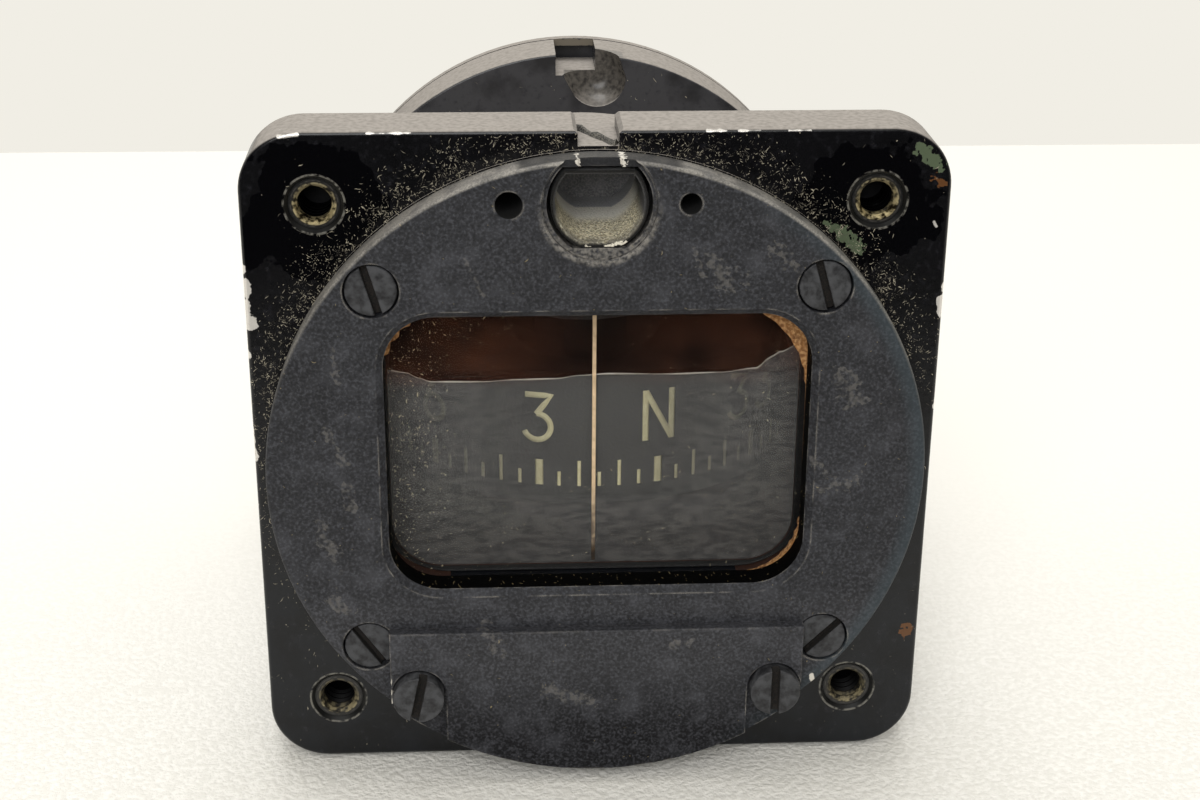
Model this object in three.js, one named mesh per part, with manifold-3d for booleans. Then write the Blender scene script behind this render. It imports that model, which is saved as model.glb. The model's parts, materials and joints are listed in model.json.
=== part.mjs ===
// Panel-mounted aircraft magnetic compass, in millimetres.
// X runs to the right, Y from the dial to the back, Z up. The instrument is drawn about its own
// axis, which runs along Y through the middle of the square flange, with y = 0 on the seat of the
// bezel. The exported group moves it so that the lower edge of the flange is at z = 0.

import * as THREE from 'three';
import { mergeVertices } from 'three/addons/utils/BufferGeometryUtils.js';
import Module from 'manifold-3d';

const wasm = await Module();
wasm.setup();

// Roundness of the shapes: sides of a full circle, and steps of a rounded corner
const largeSides = 48;
const mediumSides = 32;
const smallSides = 16;
const tinySides = 12;
const diaphragmSides = 24;
const cornerSteps = 3;
const lampSteps = 5;

// Clearances, and how far a cut runs past the face that it opens
const overrun = 1;
const fitGap = 0.1;
const pressGap = 0.03;
const runningGap = 0.06;
const restGap = 0.3;

// Mounting flange with four threaded inserts on a 1.856 in square
const flangeMargin = 1.2;
const flangeThick = 6.5;
const flangeCorner = 5.2;
const flangeChamfer = 0.4;
const seatHeight = 0.15;
const seatLip = 0.05;
const mountInset = 6.23;
const mountHoleRadius = 2.2;
const mountHoleFlare = 0.3;
const mountHoleFloor = 1;
const insertBore = 1.45;
const insertSetBack = 0.45;
const insertChamfer = 0.25;
const leadSlotWidth = 3.45;
const leadSlotDepth = 1.4;
const leadSlotRounding = 0.35;

// Bowl of the casting: a neck behind the flange, a ball-ended chamber, a waist and a rear disc
const neckLip = 0.2;
const neckBack = 11.2;
const neckShoulder = 3;
const bowlStep = 4.4;
const bowlWall = 1.4;
const chamberFloorRise = 10.8;
const chamberCeilingDrop = 6.5;
const waistStep = 4;
const rearDiscLip = 2.8;
const rearDiscThick = 7.3;
const rearDiscChamfer = 0.3;
const rearBoreWall = 2.8;
const rearBoreLap = 1.07;
const rearSlotWidth = 4.2;
const rearSlotDepth = 2.3;
const rearPocketRadius = 3;
const rearPocketDepth = 2.4;
const rearPocketX = 2.4;
const rearPocketDrop = 2.6;
const rearRampDrop = 1.1;
const rearRampAngle = THREE.MathUtils.degToRad(207);

// Front bezel with its window, held by four screws
const bezelRadius = 28.6;
const bezelThick = 3.05;
const bezelDrop = 0.5;
const bezelChamfer = 0.4;
const windowSideMargin = 10.35;
const windowTopMargin = 13.6;
const windowBottomMargin = 18;
const windowCorner = 4.5;
const windowBevel = 0.6;
const bezelScrewHeadRadius = 2.2;
const bezelScrewHeadHeight = 1.7;
const bezelScrewSink = 0.12;
const bezelScrewLength = 9.2;
const bezelScrewRadius = 1.25;
const bezelScrewSlotWidth = 0.65;
const bezelScrewSlotDepth = 0.75;
const screwHoleDepth = 8;
const bezelScrewInset = 2.77;
const upperScrewAngle = THREE.MathUtils.degToRad(42.7);
const lowerScrewStep = 4.3;
const wireHoleX = 7.5;
const wireHoleRise = 0.1;
const wireHoleRadius = 1.15;
const pinHoleRadius = 0.9;
const pinHoleDepth = 5;

// Window glass between its gasket and its seal, and the lubber line behind it
const glassThick = 3;
const glassLap = 1.35;
const glassCorner = 6.5;
const glassChamfer = 0.3;
const gasketThick = 0.5;
const gasketCorner = 7.6;
const gasketLip = 0.4;
const sealThick = 0.6;
const tunnelMargin = 0.1;
const tunnelLength = 12;
const lubberWidth = 0.35;
const lubberThick = 0.3;
const lubberLap = 0.8;

// Lamp well at the top of the bezel, with its sleeve
const lampRadius = 4.4;
const lampInset = 3.9;
const lampTopFlat = 3.15;
const lampBottomFlat = 3.8;
const lampDepth = 10.8;
const lampRimRadius = 4.75;
const lampRimDepth = 0.6;
const lampSleeveWall = 0.35;
const lampSleeveGap = 0.35;
const notchWidth = 3.6;
const notchDepth = 0.9;

// Compensator cover with its two cheese-head screws
const coverSideLap = 2.5;
const coverLap = 0.5;
const coverThick = 1.19;
const coverChamfer = 0.15;
const coverNotchRadius = 2.45;
const coverNotchDepth = 0.6;
const coverScrewWall = 2.6;
const coverScrewInset = 7.8;
const coverScrewHeadRadius = 2.25;
const coverScrewHeadHeight = 1.65;
const coverScrewRadius = 1.25;
const coverScrewLength = 9.5;
const coverScrewSlotWidth = 0.75;
const coverScrewSlotDepth = 0.9;

// Housing cast under the bowl for the compensator, and the pocket in it
const housingSide = 4.1;
const housingWall = 1.6;
const housingBackWall = 4;
const housingCorner = 3;
const pocketSideGap = 0.6;
const pocketCeiling = 2;
const pocketHeight = 10;
const pocketBack = 25;
const pocketCorner = 1.2;
const accessSideLip = 1.2;
const accessTopLip = 1.4;
const accessBottomLip = 1.8;

// Compensator: frame, two pairs of geared shafts with a magnet on each
const framePlate = 1.9;
const frameRail = 0.8;
const framePost = 0.9;
const framePostLength = 9.2;
const framePostTop = 1.6;
const frameBackPlate = 1.4;
const compensatorDrop = 4.7;
const adjusterHeadRadius = 1.9;
const adjusterHeadHeight = 1.6;
const adjusterSlotWidth = 0.6;
const adjusterSlotDepth = 0.7;
const shaftRadius = 0.8;
const gearTeeth = 12;
const gearModule = 0.5;
const gearThick = 1.2;
const eastWestIdleX = 3.2;
const eastWestGearFront = 6;
const eastWestMagnetFront = 11.2;
const magnetStep = 6;
const crownDiscFront = 4;
const crownDiscThick = 1;
const crownToothWidth = 1.2;
const transverseMagnetGap = 0.8;
const compensatorMagnetLength = 7.2;
const compensatorMagnetHeight = 2.8;
const compensatorMagnetThick = 1.6;

// Tooth outline: half widths as shares of the tooth pitch, heights as shares of the module
const toothRootShare = 0.34;
const toothTipShare = 0.12;
const toothAddendumShare = 0.88;
const toothDedendumShare = 1.15;
const crownToothRootShare = 0.26;
const crownToothTipShare = 0.09;

// Compass card on its float, turned to the heading that it shows
const cardHeading = THREE.MathUtils.degToRad(16);
const cardGap = 1.6;
const cardFrontGap = 0.7;
const cardBackGap = 1.6;
const cardHeight = 13;
const cardWall = 0.5;
const cardLip = 1.6;
const cardLipThick = 0.4;
const webThick = 0.5;
const webHoles = 6;
const webHoleRadius = 2.6;
const webHoleInset = 5.4;
const bellShare = 0.381;
const bellWall = 0.5;
const bellFlange = 1.6;
const bellRise = 3.5;
const bellDome = 4.5;
const bellBossRadius = 1.5;
const bellBossLength = 3;
const cardMagnetGap = 1.3;
const cardMagnetLength = 18;
const cardMagnetSide = 2.2;
const pinRadius = 0.5;
const pinCone = 1.3;

// Pivot post with its jewel
const baseRadius = 6;
const baseThick = 1.3;
const baseBossRadius = 3;
const baseBossHeight = 2.4;
const postRadius = 1.8;
const postTop = 4.4;
const jewelRadius = 1.25;
const jewelHeight = 2.4;
const jewelSocketDepth = 2;
const jewelConeRadius = 0.95;
const jewelConeDepth = 1.3;
const jewelPlay = 0.15;
const springWasherThick = 0.35;
const springWasherBore = 0.6;

// Expansion chamber at the back, with its cover
const recessRim = 4.2;
const recessDepth = 1.1;
const diaphragmThick = 0.3;
const diaphragmWave = 0.8;
const diaphragmWaves = 3;
const diaphragmFlat = 4.5;
const diaphragmRim = 4.2;
const rearGasketThick = 0.5;
const rearCoverThick = 1.5;
const rearCoverChamfer = 0.3;
const rearCoverDish = 0.6;
const rearWireRecessHeight = 1.5;
const rearWireRecessDepth = 1;
const ventRadius = 1;
const rearScrews = 6;
const rearScrewInset = 2.1;
const rearScrewRadius = 0.9;
const rearScrewHeadRadius = 1.7;
const rearScrewHeadHeight = 1.2;
const rearScrewLength = 5.2;
const rearScrewSlotWidth = 0.5;
const rearScrewSlotDepth = 0.55;

// Filler plug on the side of the bowl
const fillerZ = 10;
const fillerBossRadius = 4.2;
const fillerBossHeight = 1.4;
const fillerBore = 2.6;
const fillerHeadRadius = 3.6;
const fillerHeadHeight = 1.6;
const fillerWasherThick = 0.5;
const fillerSlotWidth = 0.8;
const fillerSlotDepth = 0.8;
const fillerInset = 0.3;

// Places worked out from the sizes above
const flangeSide = 2 * (bezelRadius + flangeMargin);
const mountSpacing = flangeSide - 2 * mountInset;
const pitchRadius = gearTeeth * gearModule / 2;
const eastWestX = eastWestIdleX + 2 * pitchRadius;
const northSouthX = -eastWestX;
const pocketHalfWidth = eastWestX + compensatorMagnetLength / 2 + pocketSideGap;
const accessHalfWidth = pocketHalfWidth - accessSideLip;
const housingHalfWidth = pocketHalfWidth + housingSide;
const housingBack = pocketBack + housingBackWall;
const coverScrewX = pocketHalfWidth + coverScrewWall;
const coverHalfWidth = coverScrewX + coverSideLap;
const neckRadius = bezelRadius - neckLip;
const bowlRadius = neckRadius - bowlStep;
const chamberRadius = bowlRadius - bowlWall;
const chamberFloor = bowlRadius - chamberFloorRise;
const chamberCeiling = bowlRadius - chamberCeilingDrop;
const waistRadius = bowlRadius - waistStep;
const bezelFront = -bezelThick;
const bezelTop = bezelRadius - bezelDrop;
const windowHalfWidth = bezelRadius - windowSideMargin;
const windowTop = bezelTop - windowTopMargin;
const windowBottom = bezelRadius + bezelDrop - windowBottomMargin;
const bezelScrewCircle = bezelRadius - bezelScrewInset;
const lampZ = bezelTop - lampInset;
const wireHoleZ = lampZ + wireHoleRise;
const pocketTop = chamberFloor + pocketCeiling;
const pocketBottom = pocketTop + pocketHeight;
const housingBottom = pocketBottom + housingWall;
const accessTop = pocketTop + accessTopLip;
const accessBottom = pocketBottom - accessBottomLip;
const compensatorZ = -pocketTop - compensatorDrop;
const coverTop = pocketTop - coverLap;
const coverScrewZ = coverScrewInset - bezelRadius;
const coverFront = bezelFront - coverThick;
const coverNotchFloor = coverFront + coverNotchDepth;
const coverScrewFront = coverNotchFloor - fitGap - coverScrewHeadHeight;
const glassFront = gasketThick;
const glassBack = glassFront + glassThick;
const ledge = glassBack + sealThick;
const cardRadius = chamberRadius - cardGap;
const bowlCentre = ledge + cardFrontGap + cardRadius;
const waistDepth = bowlCentre + Math.sqrt(bowlRadius ** 2 - waistRadius ** 2);
const bellRadius = cardRadius * bellShare;
const cardMagnetX = bellRadius + bellFlange + cardMagnetGap + cardMagnetSide / 2;
const fillerBossReach = bowlRadius + fillerBossHeight;
const rearDiscRadius = bowlRadius + rearDiscLip;
const recessFloor = bowlCentre + cardRadius + cardBackGap;
const rearDiscBack = recessFloor + recessDepth;
const rearDiscFront = rearDiscBack - rearDiscThick;
const recessRadius = rearDiscRadius - recessRim;
const rearCoverBack = rearDiscBack + rearCoverThick;
const rearScrewBack = rearCoverBack + rearScrewHeadHeight;
const frameFront = restGap;
const frameBack = pocketBack - restGap;
const crownPitchPlane = crownDiscFront + crownDiscThick + gearModule;
const transverseY = crownPitchPlane + pitchRadius;
const transverseIdleY = transverseY + 2 * pitchRadius;
const pinionX = northSouthX + pitchRadius;
const postSide = 2 * framePost;
const cardTop = cardHeight / 2;
const webTop = cardTop - cardLipThick - restGap;
const webBottom = webTop - webThick;
const bellFlangeTop = webBottom - restGap;
const jewelFloor = postTop - jewelSocketDepth;
const jewelBottom = jewelFloor + springWasherThick;
const pinTip = jewelBottom + jewelHeight - jewelConeDepth + jewelPlay;
const bellTop = bellFlangeTop + bellRise + bellDome;

// A named solid shape becomes a joinable solid, and back
function toSolid(geometry) {
  const plain = geometry.clone();
  plain.deleteAttribute('normal');
  plain.deleteAttribute('uv');
  const merged = mergeVertices(plain);
  const corners = merged.index.array;
  const kept = [];
  for (let i = 0; i < corners.length; i += 3) {
    const [a, b, c] = [corners[i], corners[i + 1], corners[i + 2]];
    if (a !== b && b !== c && c !== a) kept.push(a, b, c);
  }
  return new wasm.Manifold(new wasm.Mesh({
    numProp: 3,
    vertProperties: new Float32Array(merged.attributes.position.array),
    triVerts: new Uint32Array(kept),
  }));
}

function toGeometry(solid) {
  const mesh = solid.getMesh();
  const geometry = new THREE.BufferGeometry();
  geometry.setAttribute('position', new THREE.BufferAttribute(mesh.vertProperties, mesh.numProp));
  geometry.setIndex(new THREE.BufferAttribute(mesh.triVerts, 1));
  const flat = geometry.toNonIndexed();
  flat.computeVertexNormals();
  return flat;
}

function cutAll(solid, cutters) {
  return cutters.reduce((rest, cutter) => rest.subtract(cutter), solid);
}

function joinAll(solids) {
  return solids.reduce((whole, solid) => whole.add(solid));
}

// Outlines, drawn in X and Z as they are seen from the front
function circleShape(radius, x = 0, z = 0) {
  const shape = new THREE.Shape();
  shape.absarc(x, z, radius, 0, 2 * Math.PI);
  return shape;
}

function roundedShape(left, right, low, high, corner) {
  const shape = new THREE.Shape();
  const quarter = Math.PI / 2;
  shape.absarc(right - corner, high - corner, corner, 0, quarter);
  shape.absarc(left + corner, high - corner, corner, quarter, 2 * quarter);
  shape.absarc(left + corner, low + corner, corner, 2 * quarter, 3 * quarter);
  shape.absarc(right - corner, low + corner, corner, 3 * quarter, 4 * quarter);
  return shape;
}

// Window outline, grown by a margin on every side, with its own corner radius
function windowShape(margin, corner) {
  const half = windowHalfWidth + margin;
  return roundedShape(-half, half, -windowBottom - margin, windowTop + margin, corner);
}

// Round hole with its upper and lower parts cut off flat
function lampShape(radius, topInset = 0, bottomInset = 0) {
  const topAngle = Math.asin((lampTopFlat - topInset) / radius);
  const bottomAngle = Math.asin((lampBottomFlat - bottomInset) / radius);
  const shape = new THREE.Shape();
  shape.absarc(0, lampZ, radius, -bottomAngle, topAngle);
  shape.absarc(0, lampZ, radius, Math.PI - topAngle, Math.PI + bottomAngle);
  return shape;
}

// Solid of an outline between two depths, with both edges broken if a chamfer is given
function extrudeY(shape, front, back, chamfer = 0, sides = smallSides) {
  const geometry = new THREE.ExtrudeGeometry(shape, {
    depth: back - front - 2 * chamfer,
    curveSegments: sides,
    steps: 1,
    bevelEnabled: chamfer > 0,
    bevelThickness: chamfer,
    bevelSize: chamfer,
    bevelOffset: -chamfer,
    bevelSegments: 1,
  });
  geometry.rotateX(Math.PI / 2);
  geometry.translate(0, back - chamfer, 0);
  return toSolid(geometry);
}

// Cutter for an outline that flares by the same amount over a short depth at the front face
function flareY(shape, front, flare, sides) {
  const geometry = new THREE.ExtrudeGeometry(shape, {
    depth: overrun,
    curveSegments: sides,
    steps: 1,
    bevelEnabled: true,
    bevelThickness: flare,
    bevelSize: flare,
    bevelOffset: 0,
    bevelSegments: 1,
  });
  geometry.rotateX(Math.PI / 2);
  geometry.translate(0, front, 0);
  return toSolid(geometry);
}

// Solids turned from a profile of radius and depth, about Y, and of radius and height, about Z
function turnY(profile, sides = mediumSides) {
  const points = profile.map(([radius, depth]) => new THREE.Vector2(radius, depth));
  return toSolid(new THREE.LatheGeometry(points, sides));
}

function turnZ(profile, sides = mediumSides) {
  const points = profile.map(([radius, height]) => new THREE.Vector2(radius, height));
  return toSolid(new THREE.LatheGeometry(points, sides).rotateX(Math.PI / 2));
}

function rodY(radius, front, back, x, z, sides = smallSides) {
  return turnY([[0, front], [radius, front], [radius, back], [0, back]], sides).translate([x, 0, z]);
}

function rodX(radius, left, right, y, z, sides = smallSides) {
  const geometry = new THREE.CylinderGeometry(radius, radius, right - left, sides);
  geometry.rotateZ(-Math.PI / 2);
  geometry.translate((left + right) / 2, y, z);
  return toSolid(geometry);
}

function block(left, right, front, back, low, high) {
  const geometry = new THREE.BoxGeometry(right - left, back - front, high - low);
  geometry.translate((left + right) / 2, (front + back) / 2, (low + high) / 2);
  return toSolid(geometry);
}

// Ring of a closed profile of radius and depth
function ringY(inner, outer, front, back, sides = mediumSides) {
  return turnY([[inner, front], [outer, front], [outer, back], [inner, back], [inner, front]], sides);
}

// Screw along Y with its slotted head to the front, drawn from the plane under the head
function slottedScrew(size, sides = smallSides) {
  const { headRadius, headHeight, chamfer, radius, length, slotWidth, slotDepth } = size;
  const body = turnY([
    [0, -headHeight],
    [headRadius - chamfer, -headHeight],
    [headRadius, chamfer - headHeight],
    [headRadius, 0],
    [radius, 0],
    [radius, length],
    [0, length],
  ], sides);
  const reach = headRadius + overrun;
  const slotFloor = slotDepth - headHeight;
  return body.subtract(
    block(-slotWidth / 2, slotWidth / 2, -headHeight - overrun, slotFloor, -reach, reach));
}

// Four places at the corners of the mounting square
function mountPlaces() {
  const half = mountSpacing / 2;
  return [[-half, half], [half, half], [-half, -half], [half, -half]];
}

// The bezel's screws lie on one circle: the upper pair by its angle, the lower pair beside the cover
function bezelScrewPlaces() {
  const upperX = bezelScrewCircle * Math.cos(upperScrewAngle);
  const upperZ = bezelScrewCircle * Math.sin(upperScrewAngle) - bezelDrop;
  const lowerX = coverScrewX + lowerScrewStep;
  const lowerZ = -Math.sqrt(bezelScrewCircle ** 2 - lowerX ** 2) - bezelDrop;
  return [[-upperX, upperZ], [upperX, upperZ], [-lowerX, lowerZ], [lowerX, lowerZ]];
}

function coverScrewPlaces() {
  return [[-coverScrewX, coverScrewZ], [coverScrewX, coverScrewZ]];
}

function rearScrewPlaces() {
  return Array.from({ length: rearScrews }, (_, i) => {
    const angle = 2 * Math.PI * i / rearScrews;
    const circle = rearDiscRadius - rearScrewInset;
    return [circle * Math.cos(angle), circle * Math.sin(angle)];
  });
}

// Outer form of the casting
function castingBody() {
  const half = flangeSide / 2;
  const flange = extrudeY(
    roundedShape(-half, half, -half, half, flangeCorner), seatHeight, flangeThick, flangeChamfer,
    cornerSteps);
  const inside = flangeThick / 2;
  const seat = rodY(bezelRadius + seatLip, 0, inside, 0, -bezelDrop, largeSides);
  const ballSteps = 5;
  const ballSpan = Math.acos(waistRadius / bowlRadius);
  const ball = Array.from({ length: ballSteps + 1 }, (_, i) => {
    const angle = ballSpan * i / ballSteps;
    return [bowlRadius * Math.cos(angle), bowlCentre + bowlRadius * Math.sin(angle)];
  });
  const bowl = turnY([
    [0, inside],
    [neckRadius, inside],
    [neckRadius, neckBack],
    [bowlRadius, neckBack + neckShoulder],
    ...ball,
    [waistRadius, waistDepth + fitGap],
    [waistRadius, rearDiscFront],
    [rearDiscRadius - rearDiscChamfer, rearDiscFront],
    [rearDiscRadius, rearDiscFront + rearDiscChamfer],
    [rearDiscRadius, rearDiscBack],
    [0, rearDiscBack],
  ], largeSides);
  const housing = extrudeY(
    roundedShape(-housingHalfWidth, housingHalfWidth, -housingBottom, 0, housingCorner),
    inside, housingBack, housingCorner / 2, cornerSteps);
  const boss = rodX(fillerBossRadius, waistRadius, fillerBossReach, bowlCentre, fillerZ, mediumSides);
  return joinAll([flange, seat, bowl, housing, boss]);
}

// Room for the liquid and the card, with the tunnel to the window and the bore to the diaphragm
function chamberCutters() {
  const floorRadius = Math.sqrt(chamberRadius ** 2 - chamberFloor ** 2);
  const ceilingRadius = Math.sqrt(chamberRadius ** 2 - chamberCeiling ** 2);
  const low = Math.atan2(-chamberFloor, floorRadius);
  const high = Math.atan2(chamberCeiling, ceilingRadius);
  const wallSteps = 9;
  const wall = Array.from({ length: wallSteps + 1 }, (_, i) => {
    const angle = low + (high - low) * i / wallSteps;
    return [chamberRadius * Math.cos(angle), chamberRadius * Math.sin(angle)];
  });
  const ball = turnZ([[0, -chamberFloor], ...wall, [0, chamberCeiling]]).translate([0, bowlCentre, 0]);
  const tunnel = extrudeY(
    windowShape(tunnelMargin, windowCorner + tunnelMargin), ledge - overrun, ledge + tunnelLength,
    0, cornerSteps);
  const glassSeat = extrudeY(
    windowShape(glassLap + fitGap, glassCorner + fitGap), -overrun, ledge, 0, cornerSteps);
  const bore = rodY(waistRadius - rearBoreWall, waistDepth - rearBoreLap, recessFloor + overrun,
    0, 0, mediumSides);
  const recess = rodY(recessRadius + fitGap, recessFloor, rearDiscBack + overrun, 0, 0, largeSides);
  const filler = rodX(fillerBore, waistRadius - overrun, fillerBossReach + overrun,
    bowlCentre, fillerZ);
  return [ball, tunnel, glassSeat, bore, recess, filler];
}

// Groove in the glass ledge, above and below the window, that holds the lubber line
function lubberGroove() {
  const half = lubberWidth / 2 + fitGap;
  const reach = lubberLap + tunnelMargin + fitGap;
  return block(-half, half, ledge - overrun, ledge + lubberThick + fitGap,
    -windowBottom - reach, windowTop + reach);
}

// Slot over the top edge of the flange for the lamp's lead, with its edges rounded
function leadSlotCutter() {
  const half = flangeSide / 2;
  const floor = half - leadSlotDepth;
  const slot = block(-leadSlotWidth / 2, leadSlotWidth / 2,
    -overrun, neckBack + neckShoulder, floor, Math.max(half, neckRadius) + overrun);
  const mouths = [-1, 1].map((side) => {
    const edge = side * leadSlotWidth / 2;
    const shape = new THREE.Shape();
    shape.moveTo(edge - side * fitGap, half - leadSlotRounding);
    shape.lineTo(edge, half - leadSlotRounding);
    shape.lineTo(edge + side * leadSlotRounding, half);
    shape.lineTo(edge + side * leadSlotRounding, half + overrun);
    shape.lineTo(edge - side * fitGap, half + overrun);
    return extrudeY(shape, -overrun, flangeThick + overrun);
  });
  return joinAll([slot, ...mouths]);
}

function mountHoleCutters() {
  return mountPlaces().flatMap(([x, z]) => [
    rodY(mountHoleRadius, -overrun, flangeThick - mountHoleFloor, x, z),
    flareY(circleShape(mountHoleRadius, x, z), seatHeight, mountHoleFlare, smallSides / 2),
  ]);
}

function screwHoleCutters() {
  const bezel = bezelScrewPlaces().map(([x, z]) =>
    rodY(bezelScrewRadius + fitGap, -overrun, screwHoleDepth, x, z, tinySides));
  const cover = coverScrewPlaces().map(([x, z]) =>
    rodY(coverScrewRadius + fitGap, -overrun, screwHoleDepth, x, z, tinySides));
  const rear = rearScrewPlaces().map(([x, z]) =>
    rodY(rearScrewRadius + fitGap, rearDiscBack - rearScrewLength, rearDiscBack + overrun, x, z, tinySides));
  return [...bezel, ...cover, ...rear];
}

// Slot in the rim of the rear disc, where the lamp's lead passed, and the scooped pocket that runs into it
function rearLeadCutters() {
  const floor = rearDiscRadius - rearSlotDepth;
  const top = rearDiscRadius + overrun;
  const pocket = new THREE.Shape();
  pocket.moveTo(-rearSlotWidth / 2, top);
  pocket.lineTo(-rearSlotWidth / 2, rearDiscRadius - rearRampDrop);
  pocket.absarc(rearPocketX, rearDiscRadius - rearPocketDrop, rearPocketRadius, rearRampAngle, 2 * Math.PI);
  pocket.lineTo(rearPocketX + rearPocketRadius, top);
  return [
    block(-rearSlotWidth / 2, rearSlotWidth / 2, rearDiscFront - overrun, rearDiscBack + overrun,
      floor, rearDiscRadius + overrun),
    extrudeY(pocket, rearDiscFront - overrun, rearDiscFront + rearPocketDepth, 0, tinySides),
  ];
}

function caseCasting() {
  const lampPocket = extrudeY(lampShape(lampRadius), -overrun, lampDepth, 0, lampSteps);
  const wireHoles = [
    rodY(wireHoleRadius, -overrun, pinHoleDepth, -wireHoleX, wireHoleZ, tinySides),
    rodY(pinHoleRadius, -overrun, pinHoleDepth, wireHoleX, wireHoleZ, tinySides),
  ];
  const pocket = extrudeY(
    roundedShape(-pocketHalfWidth, pocketHalfWidth, -pocketBottom, -pocketTop, pocketCorner),
    -overrun, pocketBack, 0, cornerSteps);
  return cutAll(castingBody(), [
    ...chamberCutters(),
    lubberGroove(),
    leadSlotCutter(),
    ...mountHoleCutters(),
    ...screwHoleCutters(),
    ...rearLeadCutters(),
    lampPocket,
    ...wireHoles,
    pocket,
  ]);
}

// Bezel ring: the window with its bevel, lamp hole, screw seats and access to the compensator
function frontBezel() {
  const disc = turnY([
    [0, bezelFront],
    [bezelRadius - bezelChamfer, bezelFront],
    [bezelRadius, bezelFront + bezelChamfer],
    [bezelRadius, 0],
    [0, 0],
  ], largeSides).translate([0, 0, -bezelDrop]);
  const screwSeats = bezelScrewPlaces().flatMap(([x, z]) => [
    rodY(bezelScrewHeadRadius + fitGap + pressGap, bezelFront - overrun,
      bezelFront + bezelScrewSink + bezelScrewHeadHeight + fitGap, x, z),
    rodY(bezelScrewRadius + fitGap, bezelFront - overrun, overrun, x, z, tinySides),
  ]);
  const coverHoles = coverScrewPlaces().map(([x, z]) =>
    rodY(coverScrewRadius + fitGap, bezelFront - overrun, overrun, x, z, tinySides));
  const notchFloor = lampZ + lampTopFlat;
  return cutAll(disc, [
    extrudeY(windowShape(0, windowCorner), bezelFront - overrun, overrun, 0, cornerSteps),
    flareY(windowShape(0, windowCorner), bezelFront, windowBevel, cornerSteps),
    extrudeY(lampShape(lampRadius), bezelFront - overrun, overrun, 0, lampSteps),
    rodY(lampRimRadius, bezelFront - overrun, bezelFront + lampRimDepth, 0, lampZ, mediumSides),
    block(-notchWidth / 2, notchWidth / 2, bezelFront - overrun, bezelFront + notchDepth,
      notchFloor - overrun, bezelRadius + overrun),
    rodY(wireHoleRadius, bezelFront - overrun, overrun, -wireHoleX, wireHoleZ, tinySides),
    rodY(pinHoleRadius, bezelFront - overrun, overrun, wireHoleX, wireHoleZ, tinySides),
    extrudeY(roundedShape(-accessHalfWidth, accessHalfWidth, -accessBottom, -accessTop, pocketCorner),
      bezelFront - overrun, overrun, 0, cornerSteps),
    ...screwSeats,
    ...coverHoles,
  ]);
}

function windowGlass() {
  return extrudeY(windowShape(glassLap, glassCorner), glassFront, glassBack, glassChamfer, cornerSteps);
}

// Cork gasket in front of the glass: its opening clears the window but for wide corners on the right
function windowGasket() {
  const outer = extrudeY(windowShape(glassLap, glassCorner), 0, gasketThick, 0, cornerSteps);
  const left = -windowHalfWidth - gasketLip;
  const bottom = -windowBottom - gasketLip;
  const top = windowTop + gasketLip;
  const openings = [
    roundedShape(left, windowHalfWidth, bottom, top, gasketCorner),
    roundedShape(left, 0, bottom, top, windowCorner + gasketLip),
  ].map((shape) => extrudeY(shape, -overrun, gasketThick + overrun, 0, cornerSteps));
  return outer.subtract(joinAll(openings));
}

function glassSeal() {
  const outer = extrudeY(windowShape(glassLap, glassCorner), glassBack, ledge, 0, cornerSteps);
  const inner = extrudeY(
    windowShape(tunnelMargin, windowCorner + tunnelMargin), glassBack - overrun, ledge + overrun,
    0, cornerSteps);
  return outer.subtract(inner);
}

function lubberLine() {
  const half = lubberWidth / 2;
  return block(-half, half, ledge, ledge + lubberThick,
    -windowBottom - lubberLap, windowTop + lubberLap);
}

// Sleeve for the lamp, slack in its hole but for the flat that it rests on
function lampSleeve() {
  const start = bezelFront + lampRimDepth + fitGap;
  const radius = lampRadius - lampSleeveGap;
  const outer = extrudeY(
    lampShape(radius, lampSleeveGap, fitGap), start, lampDepth - fitGap, 0, lampSteps);
  const inner = extrudeY(
    lampShape(radius - lampSleeveWall, lampSleeveGap + lampSleeveWall, fitGap + lampSleeveWall),
    start - overrun, lampDepth + overrun, 0, lampSteps);
  return outer.subtract(inner);
}

function mountInsert() {
  const outer = mountHoleRadius - pressGap;
  const end = flangeThick - mountHoleFloor - pressGap;
  return turnY([
    [insertBore, insertSetBack + insertChamfer],
    [insertBore + insertChamfer, insertSetBack],
    [outer, insertSetBack],
    [outer, end],
    [insertBore, end],
    [insertBore, insertSetBack + insertChamfer],
  ], smallSides);
}

function bezelScrew() {
  return slottedScrew({
    headRadius: bezelScrewHeadRadius,
    headHeight: bezelScrewHeadHeight,
    chamfer: bezelChamfer / 2,
    radius: bezelScrewRadius,
    length: bezelScrewLength,
    slotWidth: bezelScrewSlotWidth,
    slotDepth: bezelScrewSlotDepth,
  });
}

// Cover plate: straight top and sides, lower edge round as the bezel, notched for its screws
function compensatorCover() {
  const disc = turnY([
    [0, coverFront],
    [bezelRadius - coverChamfer, coverFront],
    [bezelRadius, coverFront + coverChamfer],
    [bezelRadius, bezelFront],
    [0, bezelFront],
  ], largeSides).translate([0, 0, -bezelDrop]);
  const blank = block(-coverHalfWidth, coverHalfWidth, coverFront - overrun, bezelFront + overrun,
    -bezelRadius - bezelDrop - overrun, -coverTop);
  const notches = coverScrewPlaces().flatMap(([x, z]) => {
    const outward = Math.sign(x);
    const side = x + outward * (coverHalfWidth - coverScrewX + overrun);
    return [
      rodY(coverNotchRadius, coverFront - overrun, coverNotchFloor, x, z),
      block(Math.min(x, side), Math.max(x, side), coverFront - overrun, coverNotchFloor,
        z - coverNotchRadius - bezelRadius, z),
      rodY(coverScrewRadius + fitGap, coverFront - overrun, bezelFront + overrun, x, z, tinySides),
    ];
  });
  return cutAll(disc.intersect(blank), notches);
}

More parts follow.
